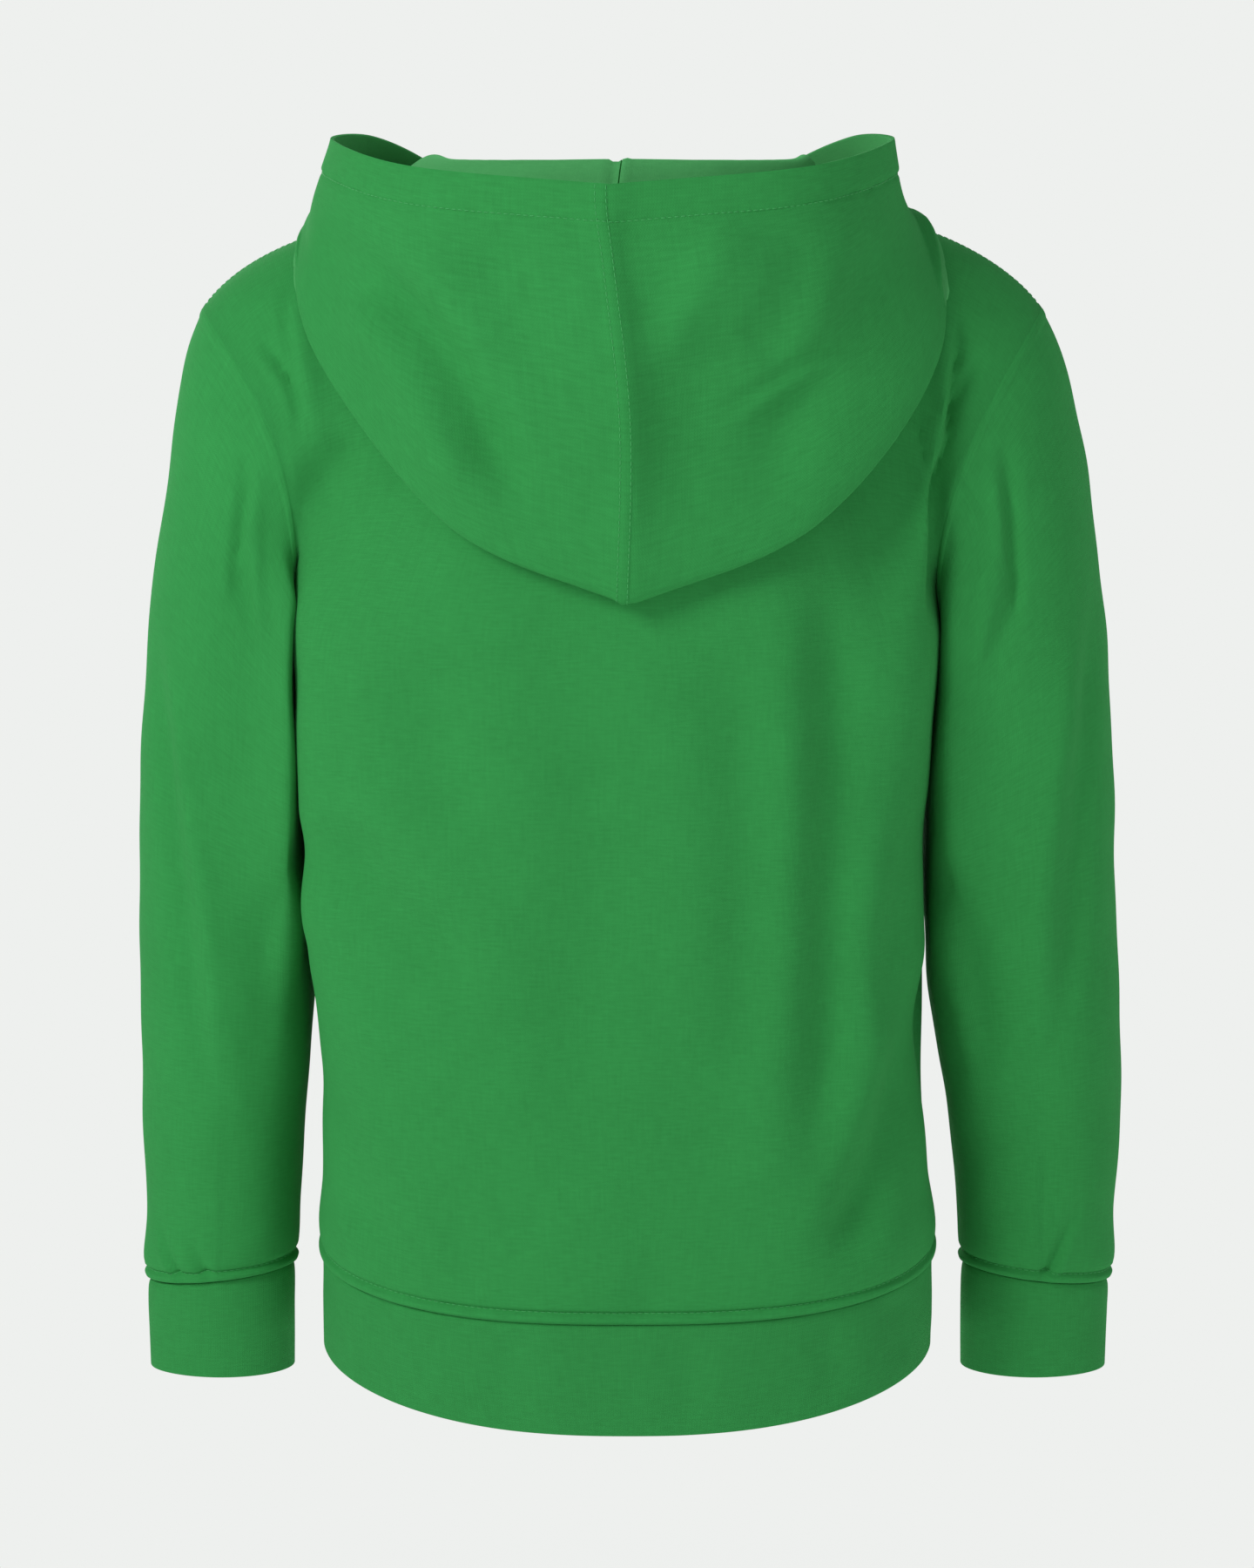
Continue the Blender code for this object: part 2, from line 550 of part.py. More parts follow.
def combine(target, other, operation):
    modifier = target.modifiers.new(other.name, "BOOLEAN")
    modifier.operation = operation
    modifier.object = other
    other.hide_render = True
    other.display_type = "WIRE"


def slider_frame(line):
    """The frame of slider and pull: x across, y up the zip, z outwards, origin in the slider's middle."""
    middle, down, outward = line.place(SLIDER_TOP + SLIDER_HEIGHT / 2, 0, 0)
    frame = Matrix((Vector((1, 0, 0)), -down, outward)).transposed().to_4x4()
    frame.translation = middle
    return frame


def make_slider(line, materials, collection, cutters):
    frame = slider_frame(line)
    channel = CHAIN_THICKNESS + 2 * SLIDER_CLEARANCE
    thickness = channel + 2 * SLIDER_PLATE
    body = add_block("zip_slider", (SLIDER_WIDTH, SLIDER_HEIGHT, thickness), (0, 0, 0), frame, collection)
    body.data.materials.append(materials["zip_metal"])
    bevel = body.modifiers.new("rounded", "BEVEL")
    bevel.width = SLIDER_ROUNDING
    bevel.segments = 2
    width = 2 * (CHAIN_HALF_WIDTH + SLIDER_CLEARANCE)
    chain_cut = SLIDER_HEIGHT * CHAIN_SHARE
    size = (width, chain_cut + 2 * CUT_PAST, channel)
    middle = (0, (chain_cut - SLIDER_HEIGHT) / 2 - CUT_PAST, 0)
    combine(body, add_block("chain_channel", size, middle, frame, cutters), "DIFFERENCE")
    size = (SLIDER_WIDTH, SLIDER_HEIGHT + 2 * CUT_PAST, TAPE_THICKNESS + 2 * SLIDER_CLEARANCE)
    for name, side in (("left", 1), ("right", -1)):
        middle = (side * (CHAIN_HALF_WIDTH + SLIDER_WIDTH / 2), 0, 0)
        combine(body, add_block(f"tape_slot_{name}", size, middle, frame, cutters), "DIFFERENCE")
    size = (BRIDGE_WIDTH, BRIDGE_HEIGHT, BRIDGE_DEPTH + BRIDGE_ROOT)
    middle = (0, 0, thickness / 2 + (BRIDGE_DEPTH - BRIDGE_ROOT) / 2)
    combine(body, add_block("bridge", size, middle, frame, cutters), "UNION")
    eye_size = (BRIDGE_WIDTH * 2, BRIDGE_HEIGHT - 2 * BRIDGE_BAR, BRIDGE_DEPTH - BRIDGE_BAR)
    eye_middle = (0, 0, thickness / 2 + (BRIDGE_DEPTH - BRIDGE_BAR) / 2)
    combine(body, add_block("bridge_eye", eye_size, eye_middle, frame, cutters), "DIFFERENCE")
    return body


def pull_axis(line):
    """The line that the pull turns on: the middle of its top bar, low in the eye of the slider's bridge."""
    frame = slider_frame(line)
    thickness = CHAIN_THICKNESS + 2 * SLIDER_CLEARANCE + 2 * SLIDER_PLATE
    low = -BRIDGE_HEIGHT / 2 + BRIDGE_BAR + SEAM_GAP + PULL_THICKNESS / 2
    out = thickness / 2 + (BRIDGE_DEPTH - BRIDGE_BAR) / 2
    return frame @ Matrix.Translation((0, low, out))


def make_pull(line, materials, collection, cutters):
    axis = pull_axis(line)
    drop = -PULL_LENGTH / 2 + PULL_THICKNESS / 2
    pull = add_block("zip_pull", (PULL_WIDTH, PULL_LENGTH, PULL_THICKNESS), (0, drop, 0), axis, collection)
    pull.data.materials.append(materials["zip_metal"])
    bevel = pull.modifiers.new("rounded", "BEVEL")
    bevel.width = PULL_ROUNDING
    bevel.segments = 2
    window = (BRIDGE_WIDTH + 2 * PULL_PLAY, PULL_WINDOW, PULL_THICKNESS * 2)
    middle = (0, -PULL_THICKNESS / 2 - PULL_WINDOW / 2, 0)
    combine(pull, add_block("pull_window", window, middle, axis, cutters), "DIFFERENCE")
    return pull


def make_zip(under, materials, collection, cutters):
    line = ZipLine(under)
    slider_ends = [SLIDER_TOP, SLIDER_TOP + SLIDER_HEIGHT]
    below = [at for at in line.distances if at > slider_ends[1] + ZIP_STEP]
    tape_edge = CHAIN_HALF_WIDTH + SEAM_GAP
    tape_reach = {"left": (tape_edge, tape_edge + TAPE_WIDTH), "right": (-tape_edge - TAPE_WIDTH, -tape_edge)}
    for side, reach in tape_reach.items():
        tape = [TAPE_TOP, *slider_ends, *below]
        loft_bar(f"zip_tape_{side}", line, tape, reach, TAPE_THICKNESS, materials["zip_tape"], collection)
    chain_top = SLIDER_TOP + SLIDER_HEIGHT * (1 - CHAIN_SHARE) + SEAM_GAP
    chain_end = line.length - BOX_HEIGHT - SEAM_GAP
    chain = [chain_top, slider_ends[1], *[at for at in below if at < chain_end - ZIP_STEP], chain_end]
    across = (-CHAIN_HALF_WIDTH, CHAIN_HALF_WIDTH)
    loft_bar("zip_chain", line, chain, across, CHAIN_THICKNESS, materials["zip_teeth"], collection)
    box = [line.length - BOX_HEIGHT, line.length]
    loft_bar("zip_box", line, box, across, BOX_THICKNESS, materials["zip_teeth"], collection)
    make_slider(line, materials, collection, cutters)
    make_pull(line, materials, collection, cutters)


def main():
    for old in list(bpy.data.objects):
        bpy.data.objects.remove(old)
    collection = bpy.data.collections.new(OBJECT_NAME)
    bpy.context.scene.collection.children.link(collection)
    cutters = bpy.data.collections.new("cutters")
    bpy.context.scene.collection.children.link(cutters)
    materials = {name: make_material(name) for name in MATERIALS}

    draft = Draft()
    draft_body(draft)
    draft_sleeves(draft)
    draft.weld()
    body = draft.tree()
    draft_hood(draft, body)
    bmesh.ops.remove_doubles(draft.mesh, verts=draft.mesh.verts[:], dist=WELD)
    draft.mesh.normal_update()
    for name in draft.names:
        ribbed = name.startswith(("cuff", "waistband"))
        wall = RIB_WALL if ribbed else FLEECE_WALL
        cut_piece(draft, name, wall, materials["rib" if ribbed else "fleece"], collection)
    draft.mesh.free()
    make_zip(body, materials, collection, cutters)


main()
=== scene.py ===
"""Dresses the zip-up hoodie: its cloth, seams, stitching and zip, on a plain pale floor."""

import json
import math

import bmesh
import bpy
import numpy as np
from mathutils import Matrix, Vector
from mathutils.bvhtree import BVHTree


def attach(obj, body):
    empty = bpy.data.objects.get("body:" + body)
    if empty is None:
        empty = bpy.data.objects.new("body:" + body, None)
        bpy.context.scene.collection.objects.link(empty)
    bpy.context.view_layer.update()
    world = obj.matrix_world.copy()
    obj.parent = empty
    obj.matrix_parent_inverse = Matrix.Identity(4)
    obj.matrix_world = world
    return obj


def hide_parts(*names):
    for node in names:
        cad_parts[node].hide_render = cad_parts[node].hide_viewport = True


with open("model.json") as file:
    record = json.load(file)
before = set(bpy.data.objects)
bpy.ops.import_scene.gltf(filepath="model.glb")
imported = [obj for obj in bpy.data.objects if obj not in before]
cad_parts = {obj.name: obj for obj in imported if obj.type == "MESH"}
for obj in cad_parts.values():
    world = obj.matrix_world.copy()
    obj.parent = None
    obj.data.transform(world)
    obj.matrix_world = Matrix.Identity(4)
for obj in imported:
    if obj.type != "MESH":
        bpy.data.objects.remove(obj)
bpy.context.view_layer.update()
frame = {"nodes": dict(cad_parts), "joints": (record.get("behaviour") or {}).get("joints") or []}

# ---------------------------------------------------------------------------
# Body panels. The back is one piece and each front another, cut from sweatshirt
# fleece: a fine jersey face, brushed inside. They are sewn at the sides and the
# shoulders, and the body hangs in soft drag folds from the shoulders and sides.

CLOTH = 0.0022
STEP, FINE_STEP = 0.0032, 0.0009  # between the points that a panel is drawn with, and those beside a seam
SEAM_ZONE = 0.0117  # how far from a seam the closer points reach
SIDE_SEAM_Y = -0.006
FRONT_SQUARENESS = 2.6
FRONT_EDGE_X = 0.0070
SHOULDER_SHARE = 5 / 11  # of a panel's width at the top, the part on the shoulder seam
UNDERARM_Z = -0.2100
NECK_HALF_WIDTH, NECK_SIDE_Z = 0.088, 0.026
NECK_BACK_Y, NECK_BACK_Z = 0.062, 0.010
THROAT_Y, THROAT_Z = -0.090, -0.050
SHOULDER_BEND = (0.203, 0.0138)


def metres(lengths, rows):
    """Rows that were measured in millimetres: their first columns are lengths, and are brought to metres."""
    rows = np.array(rows, float)
    rows[..., :lengths] /= 1000
    return rows


# z, half width, back, front, how much lower the centre back hangs, squareness of the back
BODY_SECTIONS = metres(5, (
    (-633, 177.2, 120, 115, 24, 2.4),
    (-606, 177.3, 117, 114, 20.5, 2.55),
    (-576.4, 177.3, 116.5, 114, 17.5, 2.7),
    (-564, 178.8, 120, 116, 16, 2.75),
    (-530, 175.2, 120, 116, 11, 2.9),
    (-480, 172.7, 119, 115, 4, 3.05),
    (-430, 174.5, 118.5, 115, 0, 3.15),
    (-360, 176.5, 120, 116, 0, 3.2),
    (-285, 177.5, 121, 118, 0, 3.2),
    (-240, 179.5, 121.5, 118, 0, 3.2),
    (-210, 183, 121.5, 118, 0, 3.2),
))
RIB_SEAM_Z, HEM_Z = -0.5764, -0.6330
LEVEL_ROWS, LEVEL_ROUNDS = 20, 60  # the rows on each side of the underarm that are evened out, and how often
# z, y of the centre line above the underarm
CENTRE_BACK = metres(2, ((-210, 121.5), (-150, 123.5), (-100, 120), (-50, 106), (-15, 86), (10, 62)))
CENTRE_FRONT = metres(2, ((-210, -118), (-160, -116.5), (-110, -110), (-75, -101), (-50, -90)))
# z, how far the sides of the body and the outside of the sleeves sway to the wearer's left
BODY_SWAY = metres(2, ((-570, 0), (-460, 2.8), (-360, 6), (-200, 6.5), (-120, 3), (-60, 0)))
ARM_SWAY = metres(2, (
    (-620, -0.5), (-530, -2.5), (-470, -2.5), (-380, -0.5), (-200, -0.2), (-110, -0.3), (-30, 2.8),
))
# The armhole: outer x and z, inner x and z, depth, middle y, bow, squareness of the inner half
ARMHOLE = metres(7, (237, -33, 183, -210, 150, -6, 23.5, 2))


def smooth(table, at):
    """The smooth curves through a table's columns, read at places in its first column."""
    knots, values = table[:, 0], table[:, 1:]
    at = np.clip(at, knots[0], knots[-1])
    k = np.clip(np.searchsorted(knots, at, side="right") - 1, 0, len(knots) - 2)
    slopes = np.gradient(values, knots, axis=0)
    span = (knots[k + 1] - knots[k])[..., None]
    t = (at - knots[k])[..., None] / span
    start = (1 + 2 * t) * (1 - t) ** 2 * values[k] + t * (1 - t) ** 2 * span * slopes[k]
    end = t * t * (3 - 2 * t) * values[k + 1] + t * t * (t - 1) * span * slopes[k + 1]
    return np.moveaxis(start + end, -1, 0)


def ease(low, high, value):
    t = np.clip((np.asarray(value, float) - low) / (high - low), 0, 1)
    return t * t * (3 - 2 * t)


def sway(points):
    """The body's sides lean together, and the centre stays put."""
    x, z = points[..., 0], points[..., 2]
    body = ease(0.05, 0.15, abs(x)) * (1 - ease(0.19, 0.27, abs(x)))
    moved = points.copy()
    moved[..., 0] += smooth(BODY_SWAY, z)[0] * body + smooth(ARM_SWAY, z)[0] * ease(0.16, 0.22, abs(x))
    return moved


def run_along(points):
    """How far along a line of points each of them lies."""
    return np.concatenate([[0], np.cumsum(np.linalg.norm(np.diff(points, axis=0), axis=1))])


def even(curve, spacing, count=400):
    """Places from 0 to 1 at which a curve of points is cut into even steps."""
    dense = np.linspace(0, 1, count)
    run = run_along(curve(dense))
    steps = max(int(round(run[-1] / spacing)), 4)
    return np.interp(np.linspace(0, run[-1], steps + 1), run, dense)


def ring(row, turn):
    """A sleeve ring: turn 0 is outside, pi is inside, and pi/2 faces the back."""
    outer_x, outer_z, inner_x, inner_z, depth, middle_y, bow, square = row
    fullness = np.where(np.cos(turn) < 0, 2 / square, 1)
    across = (1 + np.sign(np.cos(turn)) * abs(np.cos(turn)) ** fullness) / 2
    x = inner_x + (outer_x - inner_x) * across - bow * np.sin(turn) ** 2
    y = middle_y + depth / 2 * np.sign(np.sin(turn)) * abs(np.sin(turn)) ** fullness
    z = inner_z + (outer_z - inner_z) * across
    return np.stack(np.broadcast_arrays(x, y, z), -1)


def neck_line(station, face):
    """The neck seam of a half, from the shoulder seam at 0 to the centre of back or front at 1."""
    turn = station * math.pi / 2
    middle_x = 0 if face > 0 else FRONT_EDGE_X
    end_y, end_z = (NECK_BACK_Y, NECK_BACK_Z) if face > 0 else (THROAT_Y, THROAT_Z)
    x = middle_x + (NECK_HALF_WIDTH - middle_x) * np.cos(turn)
    y = SIDE_SEAM_Y + (end_y - SIDE_SEAM_Y) * np.sin(turn)
    z = NECK_SIDE_Z + (end_z - NECK_SIDE_Z) * np.sin(turn) ** 2
    return np.stack([x, y, z], -1)


def top_edge(share, face):
    """The upper edge of half a panel: the shoulder seam, then the neck seam."""
    along = np.clip(share / SHOULDER_SHARE, 0, 1)[:, None]
    tip = np.array([ARMHOLE[0], SIDE_SEAM_Y, ARMHOLE[1]])
    bend = np.array([SHOULDER_BEND[0], SIDE_SEAM_Y, SHOULDER_BEND[1]])
    neck = np.array([NECK_HALF_WIDTH, SIDE_SEAM_Y, NECK_SIDE_Z])
    shoulder = tip * (1 - along) ** 2 + bend * 2 * along * (1 - along) + neck * along**2
    station = np.clip((share - SHOULDER_SHARE) / (1 - SHOULDER_SHARE), 0, 1)
    return np.where(share[:, None] < SHOULDER_SHARE, shoulder, neck_line(station, face))


def body_points(share, z, face):
    """Half of the body below the armholes: share 0 is the side seam and 1 the centre line."""
    half_width, back, front, dip, square = smooth(BODY_SECTIONS, z[:, None])
    if face < 0:
        square, dip = FRONT_SQUARENESS, 0 * dip
    turn = share[None, :] * math.pi / 2
    middle_x = 0 if face > 0 else FRONT_EDGE_X
    depth = back - SIDE_SEAM_Y if face > 0 else front + SIDE_SEAM_Y
    away = np.sin(turn) ** (2 / square)
    x = middle_x + (half_width - middle_x) * np.clip(np.cos(turn), 0, 1) ** (2 / square)
    return np.stack([x, SIDE_SEAM_Y + face * depth * away, z[:, None] - dip * away**2], -1)


def yoke_points(share, rise, face):
    """Half of the body from the underarm, at rise 0, to the shoulder and neck, at rise 1."""
    rise = rise[:, None]
    armhole = ring(ARMHOLE, face * math.pi * (1 - rise))
    top = top_edge(share, face)[None]
    lift = (1 - np.cos(math.pi * rise)) / 2
    turn = share[None, :] * math.pi / 2
    square = BODY_SECTIONS[-1][-1] if face > 0 else FRONT_SQUARENESS
    middle_x = 0 if face > 0 else FRONT_EDGE_X
    low = np.clip(np.cos(turn), 0, 1) ** (2 / square)
    high = (top[..., 0] - middle_x) / (ARMHOLE[0] - middle_x)
    edge = ease(0, 1, rise)
    x = middle_x + (armhole[..., 0] - middle_x) * (low * (1 - edge) + high * edge)
    middle_z = UNDERARM_Z + (top[0, -1, 2] - UNDERARM_Z) * lift
    middle_y = smooth(CENTRE_BACK if face > 0 else CENTRE_FRONT, middle_z)[0]
    roundness = 1 + (square - 1) * (1 - ease(0, 0.45, rise))
    away_low = np.sin(turn) ** (2 / roundness)
    away_top = (top[..., 1] - SIDE_SEAM_Y) / (top[0, -1, 1] - SIDE_SEAM_Y)
    away = away_low * (1 - rise**4) + away_top * rise**4
    z = UNDERARM_Z + (top[..., 2] - UNDERARM_Z) * lift
    return np.stack([x, armhole[..., 1] + (middle_y - armhole[..., 1]) * away, z], -1)


def panel_shares(face):
    """Even places across half a panel, one of them at the corner of neck and shoulder."""
    shares = even(lambda share: body_points(share, np.array([-0.3]), face)[0], STEP)
    shares[np.argmin(abs(shares - SHOULDER_SHARE))] = SHOULDER_SHARE
    return shares


def half_panel(face):
    """One half of the body above the rib, rows from the rib seam up, columns from the side to the centre."""
    shares = panel_shares(face)
    z = np.arange(RIB_SEAM_Z + SEAM_ZONE, UNDERARM_Z - STEP / 2, STEP)
    z = np.concatenate([np.arange(RIB_SEAM_Z, RIB_SEAM_Z + SEAM_ZONE - FINE_STEP / 2, FINE_STEP), z])
    rise = even(lambda at: yoke_points(np.array([0.6]), at, face)[:, 0], STEP)
    points = np.concatenate([body_points(shares, z, face), yoke_points(shares, rise, face)])
    # the cloth hangs smoothly past the level of the underarm, away from the armhole seam
    rows = np.arange(len(points)) - len(z)
    hold = (1 - ease(LEVEL_ROWS / 2, LEVEL_ROWS, abs(rows)))[:, None] * ease(0, 6, np.arange(len(shares)))
    for _ in range(LEVEL_ROUNDS):
        level = points.copy()
        level[1:-1] = (points[:-2] + points[2:]) / 2
        points += (level - points) * hold[..., None]
    return points


def mirrored(points):
    return points[:, ::-1] * np.array([-1, 1, 1])


def normals_of(points, closed=False):
    """Outward unit normals of a grid of points whose columns run anticlockwise seen from above."""
    if closed:
        across = np.roll(points, -1, 1) - np.roll(points, 1, 1)
    else:
        across = np.gradient(points, axis=1)
    normal = np.cross(across, np.gradient(points, axis=0))
    return normal / np.maximum(np.linalg.norm(normal, axis=-1, keepdims=True), 1e-9)


def numbered(rows):
    """Rows with their own numbers as a first column."""
    return np.column_stack([np.arange(len(rows)), rows])


def crease(points, folds, axes=(0, 2), units=(0.001, 0.001), power=2):
    """Depth of troughs over a grid, soft ones or, at a power of 1, sharp ones.

    A fold's row: its width, depth and lip, and then its path in the given units. A positive depth sinks the
    cloth, and lip is the share of it that rises beside the trough."""
    flat = points[..., axes]
    total = np.zeros(points.shape[:2])
    for width, depth, lip, *path in folds:
        width, depth, path = width / 1000, depth / 1000, np.array(path) * units
        fine = smooth(numbered(path), np.linspace(0, len(path) - 1, 40)).T
        near = np.full(total.shape, 9.0)
        side, place = np.zeros(total.shape), np.zeros(total.shape)
        for number, (a, b) in enumerate(zip(fine, fine[1:])):
            run = b - a
            t = np.clip(((flat - a) @ run) / (run @ run), 0, 1)
            off = flat - a - t[..., None] * run
            distance = np.linalg.norm(off, axis=-1)
            closer = distance < near
            near = np.where(closer, distance, near)
            side = np.where(closer, np.sign(run[0] * off[..., 1] - run[1] * off[..., 0]), side)
            place = np.where(closer, (number + t) / (len(fine) - 1), place)
        fade = ease(0, 0.3, place) * ease(0, 0.3, 1 - place)
        beside_it = lip * np.exp(-(((near * side - 1.7 * width) / width) ** 2))
        total += depth * fade * (np.exp(-((near / width) ** power)) - beside_it)
    return total


def edge_runs(points):
    """Distances of a grid's points from its first row, last row, first column and last column."""
    up, across = (np.linalg.norm(np.diff(points, axis=axis), axis=-1) for axis in (0, 1))
    up = np.pad(np.cumsum(up, 0), ((1, 0), (0, 0)))
    across = np.pad(np.cumsum(across, 1), ((0, 0), (1, 0)))
    return up, up[-1:] - up, across, across[:, -1:] - across


def seam_dip(distance, depth=0.0004, width=0.0016):
    """A seam draws the cloth in beside it."""
    return depth * np.exp(-((distance / width) ** 2))


def allowance(distance, width, height=0.0010):
    """Cloth stands up over a seam allowance that is pressed to its side, as far as its row of stitches."""
    return height * ease(0.0003, 0.0020, distance) * (1 - ease(width - 0.0018, width + 0.0004, distance))


def ripples(points, height):
    """Soft uneven waves, a hand's breadth apart, that cloth has where nothing stretches it."""
    x, y, z = points[..., 0], points[..., 1], points[..., 2]
    waves = np.sin(61 * x + 17 * z + 40 * y + 1.3) * np.cos(43 * z - 29 * x + 0.4)
    waves += 0.6 * np.sin(97 * z + 33 * x - 51 * y) * np.cos(71 * x + 21 * z + 2.1)
    return height * waves


def pressed_in(points, sunk, closed=False):
    """A grid sunk into its own surface, and the unit normals that it had."""
    normal = normals_of(points, closed)
    return points - normal * sunk[..., None], normal


def beside(points, normal, run, wanted, down=True):
    """A line of points and normals at a distance from a border, found down each column or along each row."""
    both = np.concatenate([points, normal], -1)
    if not down:
        both, run = both.swapaxes(0, 1), run.T
    line = np.empty((both.shape[1], 6))
    for column in range(both.shape[1]):
        order = np.argsort(run[:, column])
        for channel in range(6):
            line[column, channel] = np.interp(wanted, run[order, column], both[order, column, channel])
    return line


def placed(name, data, node=None, body="garment", place=Matrix()):
    """A piece of the dressed garment. It rides a body, and may stand for a node of the part."""
    made = bpy.data.objects.new(name, data)
    made.matrix_world = place
    bpy.context.scene.collection.objects.link(made)
    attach(made, body)
    if node:
        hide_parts(node)
    return made


def mesh_of(name, corners, faces, materials, rounded=True):
    """A mesh of corners and faces in its materials, shaded as a rounded form or as a flat-sided one."""
    mesh = bpy.data.meshes.new(name)
    mesh.from_pydata(corners, [], faces)
    mesh.polygons.foreach_set("use_smooth", [rounded] * len(faces))
    for material in materials:
        mesh.materials.append(material)
    return mesh


def quads(rows, columns, closed=False):
    """The faces of a grid, each by the numbers of its four corners."""
    index = np.arange(rows * columns).reshape(rows, columns)
    right = np.roll(index, -1, 1) if closed else index[:, 1:]
    left = index if closed else index[:, :-1]
    return np.stack([left[:-1], right[:-1], right[1:], left[1:]], -1).reshape(-1, 4)


def capped(rings, around):
    """The faces of a short tube of rings, with both of its ends closed."""
    end = np.arange(around)
    return [*quads(rings, around, closed=True), end[::-1], end + (rings - 1) * around]


THREAD, STITCH_PITCH, STITCH_LENGTH = 0.00034, 0.0036, 0.0029
# each stitch from end to end: share of its length, lift and radius in threads
STITCH_STATIONS = np.array([(-0.50, -1.1, 0.5), (-0.30, 0.45, 1.0), (0.30, 0.45, 1.0), (0.50, -1.1, 0.5)])
THREAD_SIDES = 5


def stitching(name, lines):
    """Rows of thread along lines of points and normals: each stitch is a stroke, its ends in the cloth."""
    corners, faces = [], []
    turns = 2 * math.pi * np.arange(THREAD_SIDES) / THREAD_SIDES
    stitch_faces = capped(len(STITCH_STATIONS), THREAD_SIDES)
    for line in lines:
        run = run_along(line[:, :3])
        count = int(run[-1] / STITCH_PITCH)
        middle = (np.arange(count) + 0.5) * run[-1] / count
        at = middle[:, None] + STITCH_STATIONS[:, 0] * STITCH_LENGTH
        place, out = (
            np.stack([np.interp(at, run, line[:, first + axis]) for axis in range(3)], -1) for first in (0, 3)
        )
        ahead = place[:, -1:] - place[:, :1]
        ahead /= np.linalg.norm(ahead, axis=-1, keepdims=True)
        across = np.cross(ahead, out)
        lift, radius = STITCH_STATIONS[:, 1:2] * THREAD, STITCH_STATIONS[:, 2:3] * THREAD
        rings_at = (
            place[:, :, None] + out[:, :, None] * (lift + radius * np.sin(turns))[None, :, :, None]
            + across[:, :, None] * (radius * np.cos(turns))[None, :, :, None]
        )
        for stitch in rings_at.reshape(count, -1, 3):
            faces += [(face + len(corners)).tolist() for face in stitch_faces]
            corners += stitch.tolist()
    placed(name, mesh_of(name, corners, faces, [thread]))


PRESSED_SHARE = 0.12  # of its thickness, that cloth keeps in a sharp fold


def shell(node, points, kind, slot, thickness, materials, rounding, closed=False, pressed=None):
    """A wall of cloth in place of a node. It lies inside a grid of points, thinner where it is pressed."""
    name = f"{kind}_{node}"
    rows, columns = points.shape[:2]
    faces = quads(rows, columns, closed)
    mesh = mesh_of(name, points.reshape(-1, 3).tolist(), faces.tolist(), materials)
    up, _, across, _ = edge_runs(np.concatenate([points, points[:, :1]], 1) if closed else points)
    wide = across[rows // 2][None].repeat(rows, 0) - across[rows // 2].mean()
    tall = up.mean(1)[:, None].repeat(wide.shape[1], 1)
    grid = np.stack([wide, tall], -1)
    low, high = grid[:-1], grid[1:]
    corners = np.stack([low[:, :-1], low[:, 1:], high[:, 1:], high[:, :-1]], 2).reshape(-1, 2)
    layer = mesh.uv_layers.new(name="grain")
    layer.data.foreach_set("uv", corners.ravel())
    made = placed(name, mesh, node)
    wall = made.modifiers.new("thickness", "SOLIDIFY")
    wall.thickness = thickness
    wall.offset = -1
    wall.use_quality_normals = True
    wall.material_offset = len(materials) - 1
    if pressed is not None:
        loose = made.vertex_groups.new(name="loose")
        for number, share in enumerate(1 - pressed.ravel()):
            loose.add([number], float(share), "REPLACE")
        wall.vertex_group = loose.name
        wall.thickness_vertex_group = PRESSED_SHARE
    rim = made.modifiers.new("rounded_rim", "BEVEL")
    rim.width = rounding
    rim.segments = 2
    rim.limit_method = "ANGLE"
    rim.angle_limit = math.radians(60)
    return made


def feed(tree, node, inputs):
    """Gives a node its inputs, each a constant or the socket that it comes from."""
    for label, value in inputs.items():
        if hasattr(value, "links"):
            tree.links.new(value, node.inputs[label])
        else:
            node.inputs[label].default_value = value


def add_node(tree, kind, inputs, **settings):
    """The outputs of a new shader node with its settings and its inputs."""
    made = tree.nodes.new(f"ShaderNode{kind}")
    for label, value in settings.items():
        setattr(made, label, value)
    feed(tree, made, inputs)
    return made.outputs


def new_group(name, inputs, outputs):
    """An empty shader node group, the sockets that come into it, and the node that puts out."""
    group = bpy.data.node_groups.new(name, "ShaderNodeTree")
    for direction, sockets in (("INPUT", inputs), ("OUTPUT", outputs)):
        for label, kind in sockets.items():
            group.interface.new_socket(label, in_out=direction, socket_type=f"NodeSocket{kind}")
    return group, group.nodes.new("NodeGroupInput").outputs, group.nodes.new("NodeGroupOutput")


def new_material(name):
    """A new material, its nodes and its main shader."""
    made = bpy.data.materials.new(name)
    made.use_nodes = True
    return made, made.node_tree, made.node_tree.nodes["Principled BSDF"]


def maths(tree, operation, *values):
    return add_node(tree, "Math", dict(enumerate(values)), operation=operation)[0]


def stretched(tree, vector, factors):
    return add_node(tree, "VectorMath", {0: vector, 1: factors}, operation="MULTIPLY")[0]


def noise(tree, vector, scale, detail=2.0, roughness=0.5):
    inputs = {"Vector": vector, "Scale": scale, "Detail": detail, "Roughness": roughness}
    return add_node(tree, "TexNoise", inputs)["Fac"]


def shade_mix(tree, factor, dark, light):
    """A colour between two, by a factor from 0 to 1."""
    dark, light = (shade if hasattr(shade, "links") else (*shade, 1) for shade in (dark, light))
    return add_node(tree, "Mix", {0: factor, 6: dark, 7: light}, data_type="RGBA")[2]


def relief_on(tree, shader, height, distance, strength=0.6):
    bump = add_node(tree, "Bump", {"Strength": strength, "Distance": distance, "Height": height})
    feed(tree, shader, {"Normal": bump["Normal"]})


